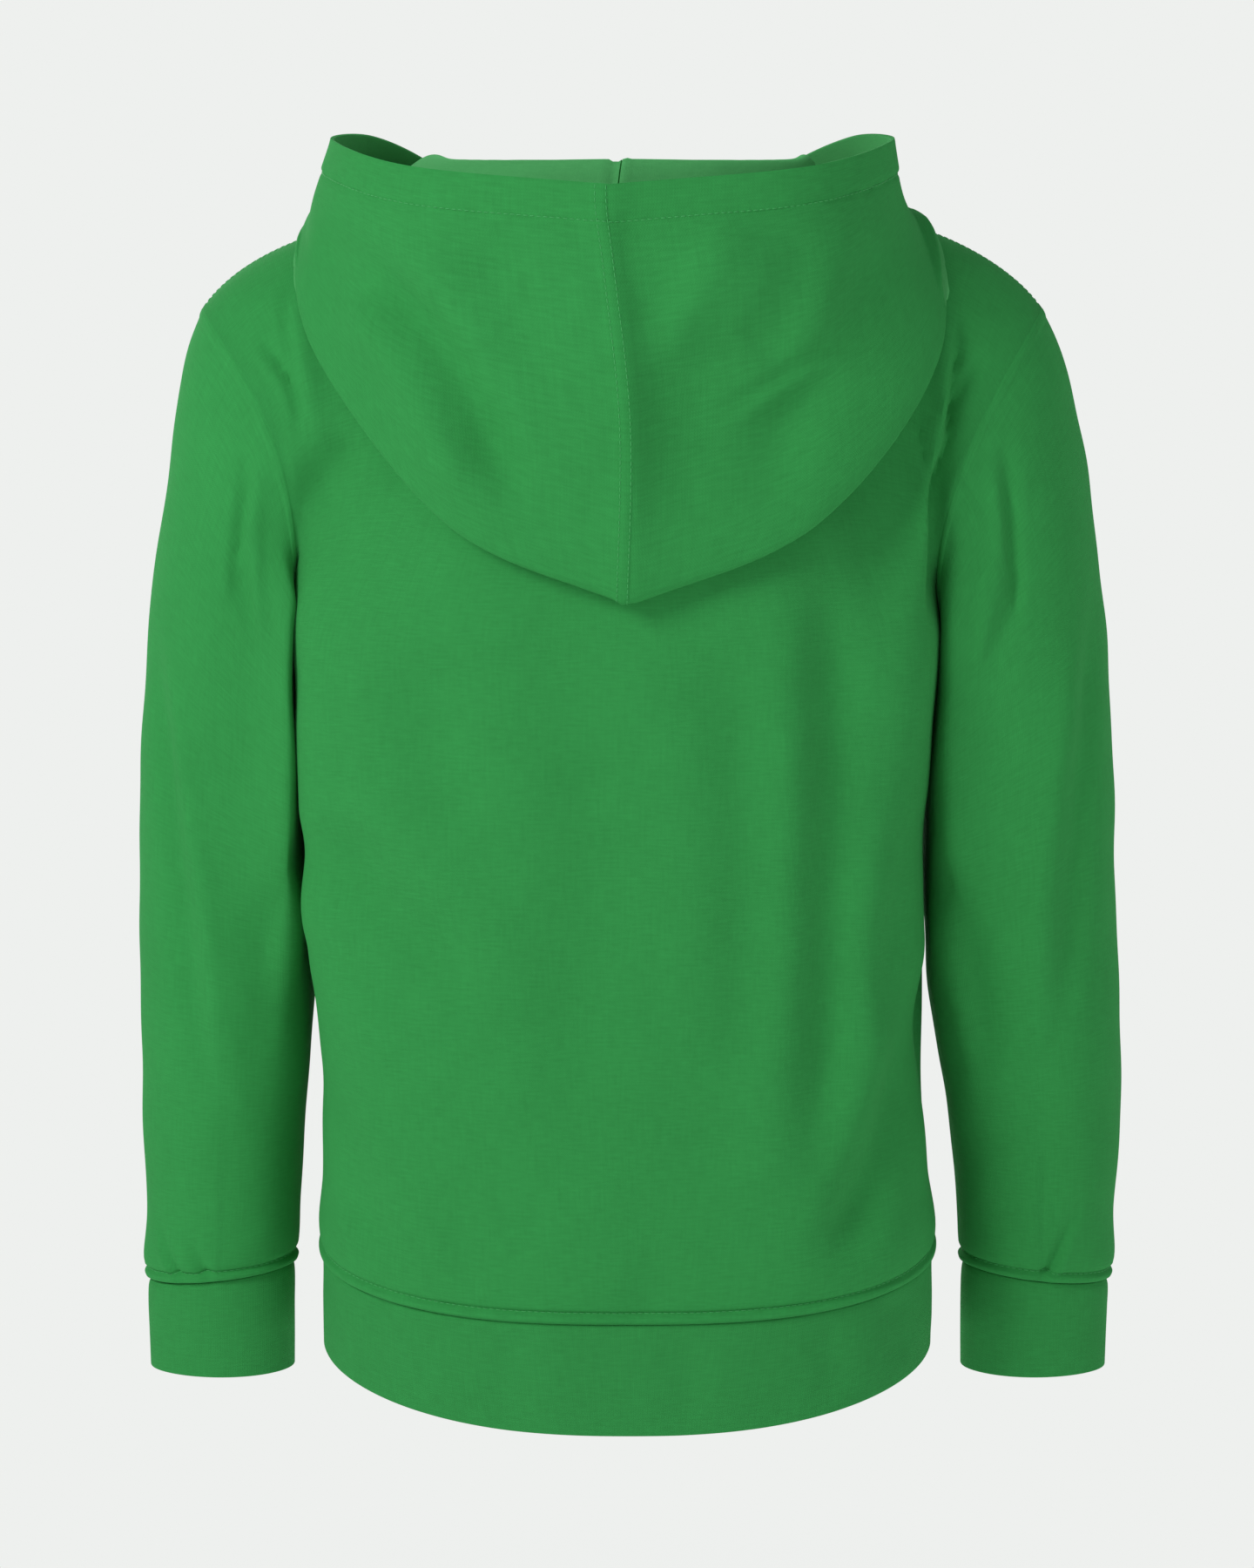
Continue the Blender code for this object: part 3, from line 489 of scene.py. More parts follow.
# Jersey knit: wales run up the cloth, and each stitch is a small V across two courses
knit, knit_in, knit_out = new_group(
    "jersey_knit",
    {"Grain": "Vector", "Wale": "Float", "Course": "Float"},
    {"Height": "Float", "Hollow": "Float"},
)
split = add_node(knit, "SeparateXYZ", {0: knit_in["Grain"]})
wale = maths(knit, "DIVIDE", split["X"], knit_in["Wale"])
course = maths(knit, "DIVIDE", split["Y"], knit_in["Course"])
fold_over = maths(knit, "PINGPONG", wale, 0.5)
slanted = maths(knit, "ADD", course, maths(knit, "MULTIPLY", fold_over, 1.6))
leg = maths(knit, "ABSOLUTE", maths(knit, "SINE", maths(knit, "MULTIPLY", slanted, math.pi)))
ridge = maths(knit, "SINE", maths(knit, "MULTIPLY", fold_over, 2 * math.pi))
wale_ridge = maths(knit, "ADD", maths(knit, "MULTIPLY", ridge, 0.7), 0.3)
height = maths(knit, "MULTIPLY", maths(knit, "POWER", leg, 0.6), wale_ridge)
# Hollow: the low places between the loops, where the cloth material paints shade into the colour
feed(knit, knit_out, {"Height": height, "Hollow": maths(knit, "SUBTRACT", 1.0, height)})

# Uneven yarn: short streaks along the courses and up the ribs, and softer clouds of dye over the cloth
yarn, yarn_in, yarn_out = new_group("uneven_yarn", {"Grain": "Vector", "Place": "Vector"}, {"Shade": "Float"})
streaks = noise(yarn, stretched(yarn, yarn_in["Grain"], (95, 820, 1)), 1.0, 3, 0.6)
upright = noise(yarn, stretched(yarn, yarn_in["Grain"], (620, 60, 1)), 1.0, 2, 0.5)
clouds = noise(yarn, yarn_in["Place"], 13, 3, 0.6)
shade = maths(yarn, "ADD", maths(yarn, "MULTIPLY", streaks, 0.50), maths(yarn, "MULTIPLY", upright, 0.25))
shade = maths(yarn, "ADD", shade, maths(yarn, "MULTIPLY", clouds, 0.25))
sharper = add_node(yarn, "MapRange", {"Value": shade, "From Min": 0.32, "From Max": 0.68})
feed(yarn, yarn_out, {"Shade": sharper["Result"]})


def knitted(tree, grain, wale, course):
    """The height and hollows of a knit whose wales and courses lie so far apart."""
    outputs = add_node(tree, "Group", {"Grain": grain, "Wale": wale, "Course": course}, node_tree=knit)
    return outputs["Height"], outputs["Hollow"]


def jersey(tree, grain):
    return knitted(tree, grain, 0.0011, 0.0009)


def brushed(tree, grain):
    """The brushed inside: a short nap with no stitches to be seen."""
    nap = noise(tree, grain, 1400, 4, 0.8)
    # the second value is the mask for the painted hollow shade in cloth_material; here it follows the nap
    # noise
    return nap, maths(tree, "MULTIPLY", nap, 0.4)


def cloth_material(name, colour, dark, roughness, sheen, structure, bump=0.00022):
    """A knitted cloth: structure adds its own nodes and returns its height and its hollows, where shade is
    painted into the colour.
    """
    made, tree, shader = new_material(name)
    grain = add_node(tree, "UVMap", {}, uv_map="grain")["UV"]
    place = add_node(tree, "TexCoord", {})["Object"]
    height, hollow = structure(tree, grain)
    fuzz = noise(tree, place, 900, 3, 0.7)
    uneven = add_node(tree, "Group", {"Grain": grain, "Place": place}, node_tree=yarn)["Shade"]
    body = shade_mix(tree, uneven, dark, colour)
    # painted shade: in the structure's hollows the colour darkens towards 55 % of itself, as if shade fell
    # between the loops
    painted_hollow_shade = maths(tree, "MULTIPLY", hollow, 0.35)
    feed(tree, shader, {
        "Base Color": shade_mix(tree, painted_hollow_shade, body, [channel * 0.55 for channel in colour]),
        "Roughness": maths(tree, "ADD", roughness - 0.06, maths(tree, "MULTIPLY", uneven, 0.12)),
        "Sheen Weight": sheen,
        "Sheen Roughness": 0.45,
        "Sheen Tint": (0.20, 1.0, 0.32, 1),
        "Specular IOR Level": 0.10,
    })
    relief_on(tree, shader, maths(tree, "ADD", height, maths(tree, "MULTIPLY", fuzz, 0.8)), bump, 0.55)
    return made


def finish_material(name, colour, dark, roughness, spread, scale, detail=4, grit=0.6, metallic=0.0):
    """A hard, spun or woven finish whose colour and roughness vary a little over the surface."""
    made, tree, shader = new_material(name)
    place = add_node(tree, "TexCoord", {})["Object"]
    worn = noise(tree, place, scale, detail, grit)
    feed(tree, shader, {
        "Base Color": shade_mix(tree, worn, dark, colour),
        "Roughness": maths(tree, "ADD", roughness, maths(tree, "MULTIPLY", worn, spread)),
        "Metallic": metallic,
    })
    return made, tree, shader, place


FLEECE_LIGHT, FLEECE_DARK = (0.040, 0.335, 0.080), (0.029, 0.255, 0.058)
fleece = cloth_material("fleece_face", FLEECE_LIGHT, FLEECE_DARK, 0.90, 0.16, jersey)
INSIDE_LIGHT, INSIDE_DARK = (0.090, 0.420, 0.135), (0.070, 0.360, 0.110)
fleece_inside = cloth_material(
    "fleece_brushed_inside", INSIDE_LIGHT, INSIDE_DARK, 0.96, 0.40, brushed, 0.0006)
FLEECE = {
    "kind": "cloth", "slot": "fleece", "thickness": CLOTH, "rounding": 0.0005,
    "materials": (fleece, fleece_inside),
}
# Spun thread in the colour of the cloth, a little smoother than the fleece
THREAD_LIGHT, THREAD_DARK = (0.048, 0.400, 0.105), (0.030, 0.290, 0.068)
thread = finish_material("sewing_thread", THREAD_LIGHT, THREAD_DARK, 0.55, 0.20, 1500, 2, 0.5)[0]

# Folds of the back, in millimetres: width, depth, lip, then the path as x and z
BACK_FOLDS = (
    # at the wearer's left shoulder, under the hood and beside the armhole
    (6, -3, 0, (183, -16), (182, -44), (176, -74), (172, -100)),
    (12, 4.6, 0.4, (146, -100), (156, -112), (168, -128), (172, -150)),
    # at the right armhole: the cloth rolls into the deep crease
    (6, -3.4, 0, (-174, -40), (-172, -80), (-166, -112), (-158, -150), (-156, -200)),
    (8, 5, 0.3, (-180, -100), (-172, -136), (-168, -178), (-168, -215)),
    (16, -8, 0, (-156, -100), (-157, -160), (-158, -240), (-156, -340)),
    # drag towards the left side
    (22, 11, 0.3, (172, -308), (150, -345), (118, -378), (72, -396)),
    (16, 5.6, 0.3, (168, -372), (142, -402), (108, -425)),
    (26, 6.4, 0.3, (124, -215), (106, -270), (100, -330)),
    # long upright folds on the right
    (17, 9.5, 0.4, (-112, -140), (-116, -260), (-114, -400), (-110, -565)),
    (15, 9, 0.5, (-174, -390), (-158, -460), (-136, -522), (-112, -572)),
    (11, 3.6, 0.5, (-160, -300), (-152, -380), (-148, -450)),
    (20, 4, 0.4, (-56, -205), (-70, -330), (-64, -480)),
    (26, 3.4, 0.3, (30, -220), (18, -360), (26, -520)),
    # short ones where the rib draws the hem in
    (11, 2.6, 0.5, (172, -450), (152, -515), (134, -566)),
    (10, 1.2, 0.5, (98, -520), (92, -552), (94, -580)),
    (12, 1.2, 0.5, (-20, -540), (-16, -570), (-18, -588)),
)
# Sharp creases of the back, at the left armhole and at the right one
BACK_CREASES = (
    (3.4, 3.6, 0.4, (206, -46), (196, -58), (187, -70), (182, -84), (180, -104)),
    (3, 2.4, 0.5, (190, -14), (189, -40), (184, -64)),
    (3.6, 8, 0.4, (-186, -20), (-184, -50), (-181, -78), (-178, -104), (-171, -124), (-165, -146),
     (-164, -176), (-164, -212)),
    (2.8, 3.4, 0.4, (-150, -78), (-160, -94), (-163, -112), (-166, -134)),
    (3, 3, 0.5, (-198, -52), (-188, -72), (-178, -92), (-174, -104)),
)
# Folds of the fronts, alike on both sides but uneven
FRONT_FOLDS = (
    (5.5, 5.6, 0.6, (196, -24), (186, -66), (170, -108), (158, -140)),
    (7, 4.4, 0.5, (180, -120), (158, -168), (126, -206)),
    (11, 4.4, 0.4, (172, -180), (146, -225), (104, -262)),
    (20, 5.6, 0.4, (90, -120), (98, -280), (90, -450)),
    (16, 5, 0.4, (156, -330), (132, -430), (112, -560)),
    (12, 3.4, 0.4, (40, -110), (30, -210), (34, -300)),
    (9, 3.2, 0.5, (62, -480), (56, -535), (60, -572)),
    (5.5, 5.4, 0.6, (-192, -34), (-184, -80), (-172, -126)),
    (8, 4.6, 0.5, (-178, -140), (-150, -180), (-112, -214)),
    (13, 5, 0.4, (-172, -205), (-138, -248), (-94, -300)),
    (18, 5.2, 0.4, (-102, -160), (-112, -310), (-100, -520)),
    (12, 4, 0.4, (-44, -130), (-36, -260), (-46, -380)),
    (9, 3.4, 0.5, (-160, -440), (-146, -510), (-136, -566)),
    (8, 3, 0.5, (-60, -500), (-52, -545), (-56, -574)),
)

panels = {}
halves = {face: half_panel(face) for face in (1, -1)}
panels["back"] = np.concatenate([halves[1], mirrored(halves[1])[:, 1:]], 1)
panels["front_left"] = halves[-1][:, ::-1]
panels["front_right"] = mirrored(panels["front_left"])
SEAM_HOLD = 0.0100  # how near a seam holds the cloth out of a fold
RIPPLE, RIPPLE_HOLD = 0.0006, 0.03  # the height of the ripples, and how near a seam holds them down
# seam allowances and how far they lift the cloth: the hem's is turned up over the waistband's seam
HEM_ALLOWANCE, HEM_LIFT = 0.0070, 0.0018
SHOULDER_ALLOWANCE, SHOULDER_LIFT = 0.0060, 0.0007
ZIP_ALLOWANCE = 0.0065
STITCH_SINK = 0.0016  # how deep the row of stitches above a rib draws the cloth in
# on the left the back rolls out over the edge of the sleeve: how far, where, and how wide
SIDE_ROLL, ROLL_X, ROLL_WIDTH = 0.0075, 0.174, 0.013
hood_rests_on = []  # the panels and sleeves under the hood
for name, points in panels.items():
    points = sway(points)
    runs = edge_runs(points)
    below, above, first, last = runs
    away = np.min(runs, axis=0)
    sunk = crease(points, BACK_FOLDS if name == "back" else FRONT_FOLDS) * ease(0, SEAM_HOLD, away)
    if name == "back":
        sunk += crease(points, BACK_CREASES, power=1) * ease(0, SEAM_HOLD / 2, away)
    sunk += ripples(points, RIPPLE) * ease(0, RIPPLE_HOLD, away)
    sunk += seam_dip(below, 0.0006) + seam_dip(above) - allowance(below, HEM_ALLOWANCE, HEM_LIFT)
    sunk += seam_dip(below - HEM_ALLOWANCE, STITCH_SINK) - allowance(above, SHOULDER_ALLOWANCE, SHOULDER_LIFT)
    zip_side = {"front_left": first, "front_right": last}.get(name)
    if zip_side is not None:
        sunk += seam_dip(zip_side - ZIP_ALLOWANCE, 0.0005)
    else:
        x, y, z = points[..., 0], points[..., 1], points[..., 2]
        roll = np.exp(-(((x - ROLL_X) / ROLL_WIDTH) ** 2)) * ease(0.030, 0.060, y) * ease(0, 0.008, away)
        sunk -= SIDE_ROLL * roll * ease(-0.150, -0.205, z) * ease(-0.420, -0.340, z)
    points, normal = pressed_in(points, sunk)
    hood_rests_on.append(points)
    shell(name, points, **FLEECE)
    rows = [beside(points, normal, below, HEM_ALLOWANCE), beside(points, normal, above, SHOULDER_ALLOWANCE)]
    if zip_side is not None:
        rows.append(beside(points, normal, zip_side, ZIP_ALLOWANCE, down=False))
    stitching(f"stitching_{name}", rows)

# ---------------------------------------------------------------------------
# Sleeves. Each is one piece of the same fleece, sewn to a tube under the arm and
# set into the armhole. It hangs straight, and its cloth gathers above the cuff.

# outer x and z, inner x and z, depth, middle y, bow, squareness of each ring down to the cuff seam
SLEEVE_RINGS = np.vstack([ARMHOLE, metres(7, (
    (249, -62, 185, -220, 149, -7, 16.5, 2.4),
    (256.2, -95, 183.8, -233, 147, -8, 10, 3),
    (263, -135, 182.2, -250, 144, -10, 5, 3.6),
    (270.5, -185, 180.3, -275, 140, -12, 2, 4.2),
    (277, -243, 179.2, -310, 134, -15, 0, 4),
    (280.8, -300, 178.4, -348, 128, -17, 0, 3.6),
    (282.5, -355, 178, -388, 122, -20, 0, 3),
    (284, -410, 178.8, -428, 115, -22, 0, 2.9),
    (285.8, -463, 184, -470, 107, -24, 0, 2.7),
    (286.2, -515, 189.5, -515, 99, -27, 0, 2.5),
    (284.8, -560, 193.2, -556, 90, -29, 0, 2.3),
    (286.2, -590, 194.5, -582, 80, -30, 0, 2.1),
    (282.2, -603.5, 197.2, -594, 68, -30, 0, 2),
))])
# Folds round a sleeve: width, depth and lip, then the path as degrees round it and millimetres below the
# shoulder. 0 degrees is outside, 90 the front, 180 the underarm and 270 the back
LEFT_SLEEVE_FOLDS = (
    (4.5, 4.4, 0.7, (62, 18), (74, 36), (92, 48), (112, 50)),
    (4, 3.4, 0.6, (78, 6), (88, 26), (104, 34)),
    (18, 3, 0.4, (60, 150), (84, 260), (92, 360)),
    (10, 4.4, 0.5, (150, 300), (118, 345), (86, 365)),
    (10, 4, 0.5, (30, 380), (66, 402), (104, 398)),
    (8, 4.4, 0.5, (24, 445), (60, 462), (116, 446)),
    (7, 4.6, 0.6, (176, 474), (130, 492), (76, 496)),
    (5.5, 4, 0.6, (16, 500), (66, 520), (120, 514)),
    (5, 3.6, 0.6, (60, 536), (104, 542), (158, 528)),
    (12, 4.6, 0.5, (200, 120), (236, 190), (262, 300)),
    (14, 4.8, 0.5, (330, 160), (300, 280), (286, 400)),
    (8, 4.6, 0.5, (196, 470), (240, 500), (300, 494)),
    (5.5, 4, 0.6, (210, 526), (262, 540), (330, 520)),
    (6, 4, 0.6, (288, 14), (274, 50), (262, 90)),
)
RIGHT_SLEEVE_FOLDS = (
    (11, 4.4, 0.6, (70, 16), (84, 60), (86, 120)),
    (14, 3.6, 0.4, (140, 50), (118, 120), (110, 200), (104, 280)),
    (15, 4.6, 0.4, (56, 180), (70, 300), (74, 420)),
    (10, 4.4, 0.5, (40, 408), (76, 430), (120, 426)),
    (8, 4.4, 0.5, (156, 446), (110, 470), (60, 464)),
    (6.5, 4.4, 0.6, (22, 488), (74, 506), (134, 498)),
    (5, 3.6, 0.6, (160, 520), (116, 536), (64, 530)),
    (12, 4.6, 0.5, (204, 140), (240, 220), (256, 330)),
    (14, 4.4, 0.5, (324, 140), (304, 250), (292, 380)),
    (8, 4.6, 0.5, (200, 460), (246, 492), (304, 480)),
    (6, 4.4, 0.6, (292, 12), (278, 60), (268, 110)),
)
TUBE_COLUMNS = 128


def tube(side, table, spacing=STEP):
    """A sleeve or cuff through a table's rings, with closer rows at its seams, and the degrees round it."""
    table, last = numbered(table), len(table) - 1
    places = last * even(lambda at: ring(smooth(table, at * last), np.full(at.shape, math.pi / 2)), spacing)
    near = int(SEAM_ZONE / spacing)
    count = int(SEAM_ZONE / FINE_STEP)
    top = np.linspace(places[0], places[near], count, endpoint=False)
    end = np.linspace(places[-1 - near], places[-1], count + 1)[1:]
    places = np.concatenate([top, places[near : -near], end])
    turns = -2 * math.pi * np.arange(TUBE_COLUMNS) / TUBE_COLUMNS
    points = ring([value[:, None] for value in smooth(table, places)], turns[None])
    degrees = np.degrees(-turns)[None].repeat(len(points), 0)
    if side == "right":
        # mirrored, and turned the other way so that the cloth still faces outwards
        points, degrees = (np.roll(grid[:, ::-1], 1, 1) for grid in (points, degrees))
        points = points * np.array([-1, 1, 1])
    return sway(points), degrees


SLEEVE_DEGREE = 0.0011  # round a sleeve, for each degree
ARMHOLE_ALLOWANCE, CUFF_ALLOWANCE = 0.0065, 0.0070
# how far the inner edge of a sleeve moves to rest against the back, and where: its degrees and their spread
SLEEVE_REST = {"left": (-0.0080, 0.0190, 0), "right": (0.0030, 0.0080, 0)}
REST_DEGREES, REST_SPREAD = 230, 24
for side, folds in (("left", LEFT_SLEEVE_FOLDS), ("right", RIGHT_SLEEVE_FOLDS)):
    points, degrees = tube(side, SLEEVE_RINGS)
    below, above = edge_runs(points)[:2]
    away = np.minimum(below, above)
    unrolled = np.stack([degrees * SLEEVE_DEGREE, below], -1)
    sunk = crease(unrolled, folds, (0, 1), (SLEEVE_DEGREE, 0.001)) * ease(0, SEAM_HOLD, away)
    sunk += ripples(points, RIPPLE) * ease(0, RIPPLE_HOLD, away)
    sunk -= allowance(below, ARMHOLE_ALLOWANCE, 0.0005)
    sunk += seam_dip(above, 0.0006) - allowance(above, CUFF_ALLOWANCE, HEM_LIFT)
    sunk += seam_dip(above - CUFF_ALLOWANCE, STITCH_SINK)
    sunk += seam_dip((degrees - 180) * SLEEVE_DEGREE, 0.0007)
    resting = ease(-0.150, -0.200, points[..., 2]) * ease(-0.440, -0.330, points[..., 2])
    resting = resting * np.exp(-(((degrees - REST_DEGREES) / REST_SPREAD) ** 2)) * ease(0, 0.020, away)
    points = points + resting[..., None] * np.array(SLEEVE_REST[side])
    points, normal = pressed_in(points, sunk, closed=True)
    hood_rests_on.append(points)
    around = [np.concatenate([grid, grid[:, :1]], 1) for grid in (points, normal, above)]
    stitching(f"stitching_sleeve_{side}", [beside(*around, CUFF_ALLOWANCE)])
    piece = shell(f"sleeve_{side}", points, **FLEECE, closed=True)

# ---------------------------------------------------------------------------
# Cuffs and waistband. Fine rib knit, folded double along its open edge, and sewn
# to the sleeve or body. The seam allowance is pressed up under the fleece.

RIB = 0.0026
CUFF_RINGS = metres(7, (
    (282.2, -603.5, 197.2, -594, 68, -30, 0, 2),
    (283.2, -612, 196.5, -606, 67, -30, 0, 2),
    (282.5, -635, 196.5, -633, 64, -30, 0, 2),
    (282, -657, 196.8, -657, 62, -30, 0, 2),
))
CUFF_SEAM_DEGREES = {"left": 128, "right": 52}  # where each cuff's own seam lies round the wrist


def ribbed(tree, grain):
    """Fine one and one rib: narrow ribs up the cloth, with the courses faint across them."""
    return knitted(tree, grain, 0.0021, 0.0012)


RIB_LIGHT, RIB_DARK = (0.038, 0.315, 0.076), (0.028, 0.240, 0.055)
rib_face = cloth_material("rib_face", RIB_LIGHT, RIB_DARK, 0.88, 0.14, ribbed, 0.00030)
RIBBING = {
    "kind": "rib", "slot": "rib", "thickness": RIB, "rounding": 0.0010, "materials": (rib_face, rib_face),
}
RIB_STEP = 0.0022
CUFF_DEGREE = 0.0007  # round a cuff, for each degree
CUFF_WAVE = 0.0005  # how far the rib stands out in soft waves round the wrist
for side in ("left", "right"):
    points, degrees = tube(side, CUFF_RINGS, RIB_STEP)
    below = edge_runs(points)[0]
    sunk = seam_dip(below, 0.0005, 0.0022)
    sunk += seam_dip((degrees - CUFF_SEAM_DEGREES[side]) * CUFF_DEGREE, 0.0009, 0.0014)
    sunk -= CUFF_WAVE * np.sin(np.radians(degrees * 3 + 40)) * ease(0.004, 0.030, below)
    points, normal = pressed_in(points, sunk, closed=True)
    piece = shell(f"cuff_{side}", points, **RIBBING, closed=True)

WAISTBAND_FOLDS = (
    (10, 1.4, 0.4, (150, -640), (140, -600), (132, -578)),
    (14, 1.6, 0.4, (70, -660), (64, -590)),
    (12, 1.6, 0.4, (-30, -662), (-36, -592)),
    (11, 1.8, 0.4, (-118, -650), (-110, -590)),
    (9, 1.6, 0.4, (-158, -632), (-150, -584)),
)
BAND_STEP = 0.0028
band_z = np.concatenate([np.arange(HEM_Z, RIB_SEAM_Z - 0.001, BAND_STEP), [RIB_SEAM_Z]])
front_half, back_half = (body_points(panel_shares(face), band_z, face) for face in (-1, 1))
left_band = np.concatenate([front_half[:, ::-1], back_half[:, 1:]], 1)
points = sway(np.concatenate([left_band, mirrored(left_band)[:, 1:]], 1))
sunk = seam_dip(edge_runs(points)[1], 0.0005, 0.0022) + crease(points, WAISTBAND_FOLDS)
piece = shell("waistband", pressed_in(points, sunk)[0], **RIBBING)

# ---------------------------------------------------------------------------
# Hood. Two halves of the same fleece, joined by a seam over the crown that is
# topstitched to the left. It is down: the cloth rises from the neck seam, rolls
# over, lies on the back to its fold, and comes up again to the hemmed face edge.

# the hood's outer face stays this far off the back and shoulders, so that its own wall fits between
HOOD_CLEARANCE = 0.0026
LAYER_GAP = 0.0024  # of air between the hood's two layers
PAST_EDGE = 0.0010  # beyond a sheet's edge by more than this, nothing is held off it
FACE_HEM = 0.0200
# from the throat to the centre back: crest, fold and edge as x, y, z, then the fold's radius and the bulge
HOOD_STATIONS = metres(11, (
    (7.5, -92.5, -46, 8, -94, -42.5, 8.5, -89, -36, 1.8, 0),
    (52, -85, -13, 68, -90, -14, 51, -74, 6, 4, 1),
    (92, -52, 29, 130, -56, 2, 99, -45, 44, 8, 1),
    (104, -3, 49, 171.8, -2, 8, 135, -2, 62, 8, 0),
    (93, 45, 48, 172, 76, -56, 154, 52, 60.5, 7, 1),
    (53, 71, 48, 100, 126, -147, 106, 123, 47, 6.5, 10),
    (0, 79, 48.5, 0, 137, -190, 0, 152, 38, 6.5, 12),
))
HOOD_LEAN = metres(2, ((-200, -1), (-80, -2.5), (0, 6.5), (30, 10), (60, 8)))
# Folds of the outer layer, in millimetres: width, depth, lip, then the path as x and z
HOOD_FOLDS = (
    (14, 13, 0.4, (152, 14), (134, -14), (109, -41), (91, -68), (69, -109), (44, -140)),
    (14, 4.6, 0.4, (164, 20), (160, -12), (148, -40)),
    (22, 5, 0.3, (74, 20), (62, -30), (40, -80)),
    (5, 2.2, 0.8, (-50, -84), (-70, -74), (-94, -60), (-124, -46)),
    (17, 6, 0.4, (-100, 18), (-88, -30), (-70, -66)),
    (18, 6, 0.4, (-142, 20), (-128, -30), (-96, -90), (-54, -140)),
    (13, -5.2, 0, (-62, 26), (-46, -4), (-30, -34), (-20, -64)),
)


def neck_at(place):
    """The neck seam from the throat, at 0, over the shoulder seam to the centre back, at 1."""
    if place < 0.5:
        return neck_line(np.array([1 - 2 * place]), -1)[0]
    return neck_line(np.array([2 * place - 1]), 1)[0]


def hood_knots(place):
    """The points that the cloth passes through at a station, and their share of its length."""
    row = smooth(numbered(HOOD_STATIONS), place * (len(HOOD_STATIONS) - 1))
    crest, fold, edge, (radius, bulge) = np.split(row, [3, 6, 9])
    down = (fold - crest) / np.linalg.norm(fold - crest)
    outward = (edge - crest) - down * ((edge - crest) @ down)
    outward /= np.linalg.norm(outward)
    fold_in, fold_out = fold - down * radius - outward * radius, fold - down * radius + outward * radius
    lying = [crest + (fold_in - crest) * share for share in (0.30, 0.65)]
    rising = [
        fold_out + (edge - fold_out) * share + outward * bulge * lift
        for share, lift in ((0.33, 1.0), (0.70, 0.9))
    ]
    points = np.array([neck_at(place), crest, *lying, fold_in, fold, fold_out, *rising, edge])
    run = run_along(points)
    return points, run / run[-1]


def hood_line(place, shares, side):
    points, run = hood_knots(place)
    line = smooth(np.column_stack([run, points]), shares).T
    line[:, 0] = side * line[:, 0] + smooth(HOOD_LEAN, line[:, 2])[0] * ease(0, 0.3, shares)
    return line


def tree_of(*grids):
    """One search tree over the outer faces of grids of points."""
    corners, faces = [], []
    for points in grids:
        faces += (quads(*points.shape[:2]) + len(corners)).tolist()
        corners += points.reshape(-1, 3).tolist()
    return BVHTree.FromPolygons(corners, faces)


def lifted(points, clearance, tree):
    """Points raised to lie at least their clearance off the cloth under them, but not those past its edge."""
    for row, column in np.argwhere(clearance > 0):
        point = Vector(points[row, column])
        near, normal, _, distance = tree.find_nearest(point, 0.05)
        if near is None:
            continue
        above = (point - near).dot(normal)
        past_edge = math.sqrt(max(distance**2 - above**2, 0))
        if above < clearance[row, column] and past_edge < PAST_EDGE:
            points[row, column] += np.array(normal) * (clearance[row, column] - above)
    return points


HOOD_ROWS, HOOD_STEP = 161, 0.0042
SPACED_AT = np.array([0.55])  # of the cloth's length, where its columns are evenly spaced
hood_shares = np.linspace(0, 1, HOOD_ROWS)
hood_places = even(lambda at: np.array([hood_line(place, SPACED_AT, 1)[0] for place in at]), HOOD_STEP, 60)
columns = [hood_line(place, hood_shares, 1) for place in hood_places]
columns += [hood_line(place, hood_shares, -1) for place in hood_places[-2::-1]]
points = np.stack(columns, 1)
fold_share = np.array([hood_knots(place)[1][5] for place in hood_places])
fold_share = np.concatenate([fold_share, fold_share[-2::-1]])
past_fold = hood_shares[:, None] - fold_share[None]
outer = ease(0, 0.08, past_fold)
under = tree_of(*hood_rests_on)
from_throat = ease(0, 0.10, np.concatenate([hood_places, hood_places[-2::-1]]))
clearance = HOOD_CLEARANCE * ease(0, 0.06, hood_shares)[:, None] * from_throat
SMOOTHING_ROUNDS = 6
for _ in range(SMOOTHING_ROUNDS):
    points = lifted(points, clearance, under)
    level = points.copy()
    level[2:-2, 1:-1] = (points[1:-3, 1:-1] + points[3:-1, 1:-1] + points[2:-2, :-2] + points[2:-2, 2:]) / 4
    points = points + (level - points) * 0.5
points = lifted(points, clearance, under)
# the outer layer stays off the lying one by the thickness of both
lying = np.stack([
    smooth(np.column_stack([hood_shares, points[:, column]]), np.linspace(0, share - 0.03, 60)).T
    for column, share in enumerate(fold_share)
], 1)
layer_gap = (2 * CLOTH + LAYER_GAP) * outer * from_throat
lying_layer = tree_of(lying[:, ::-1])
points = lifted(points, layer_gap, lying_layer)

below, above, first, last = edge_runs(points)
normal = normals_of(points)
behind = ease(-0.010, 0.030, points[..., 1])
sunk = crease(points, HOOD_FOLDS) * outer * behind
sunk += ripples(points, RIPPLE) * outer * behind * ease(FACE_HEM, FACE_HEM + RIPPLE_HOLD, above)
HEM_THICKNESS = 0.0009  # the face hem's second layer, up to its row of stitches
sunk += seam_dip(below) - HEM_THICKNESS * (1 - ease(FACE_HEM - 0.002, FACE_HEM, above))
sunk += seam_dip(above - FACE_HEM, 0.0010, 0.0014)
middle = len(hood_places) - 1
on_left = np.arange(points.shape[1]) <= middle
from_seam = np.where(on_left, 1, -1) * abs(first - first[:, middle : middle + 1])
SEAM_ALLOWANCE, SEAM_LIFT = 0.0075, 0.0014
TWIN_ROWS = (0.0012, 0.0070)  # the twin needle's rows, from the seam
past_allowance = ease(SEAM_ALLOWANCE - 0.0012, SEAM_ALLOWANCE, from_seam)
over_allowance = ease(-0.0004, 0.0004, from_seam) * (1 - past_allowance)
sunk += seam_dip(from_seam + 0.0010, 0.0009, 0.0016) - SEAM_LIFT * over_allowance
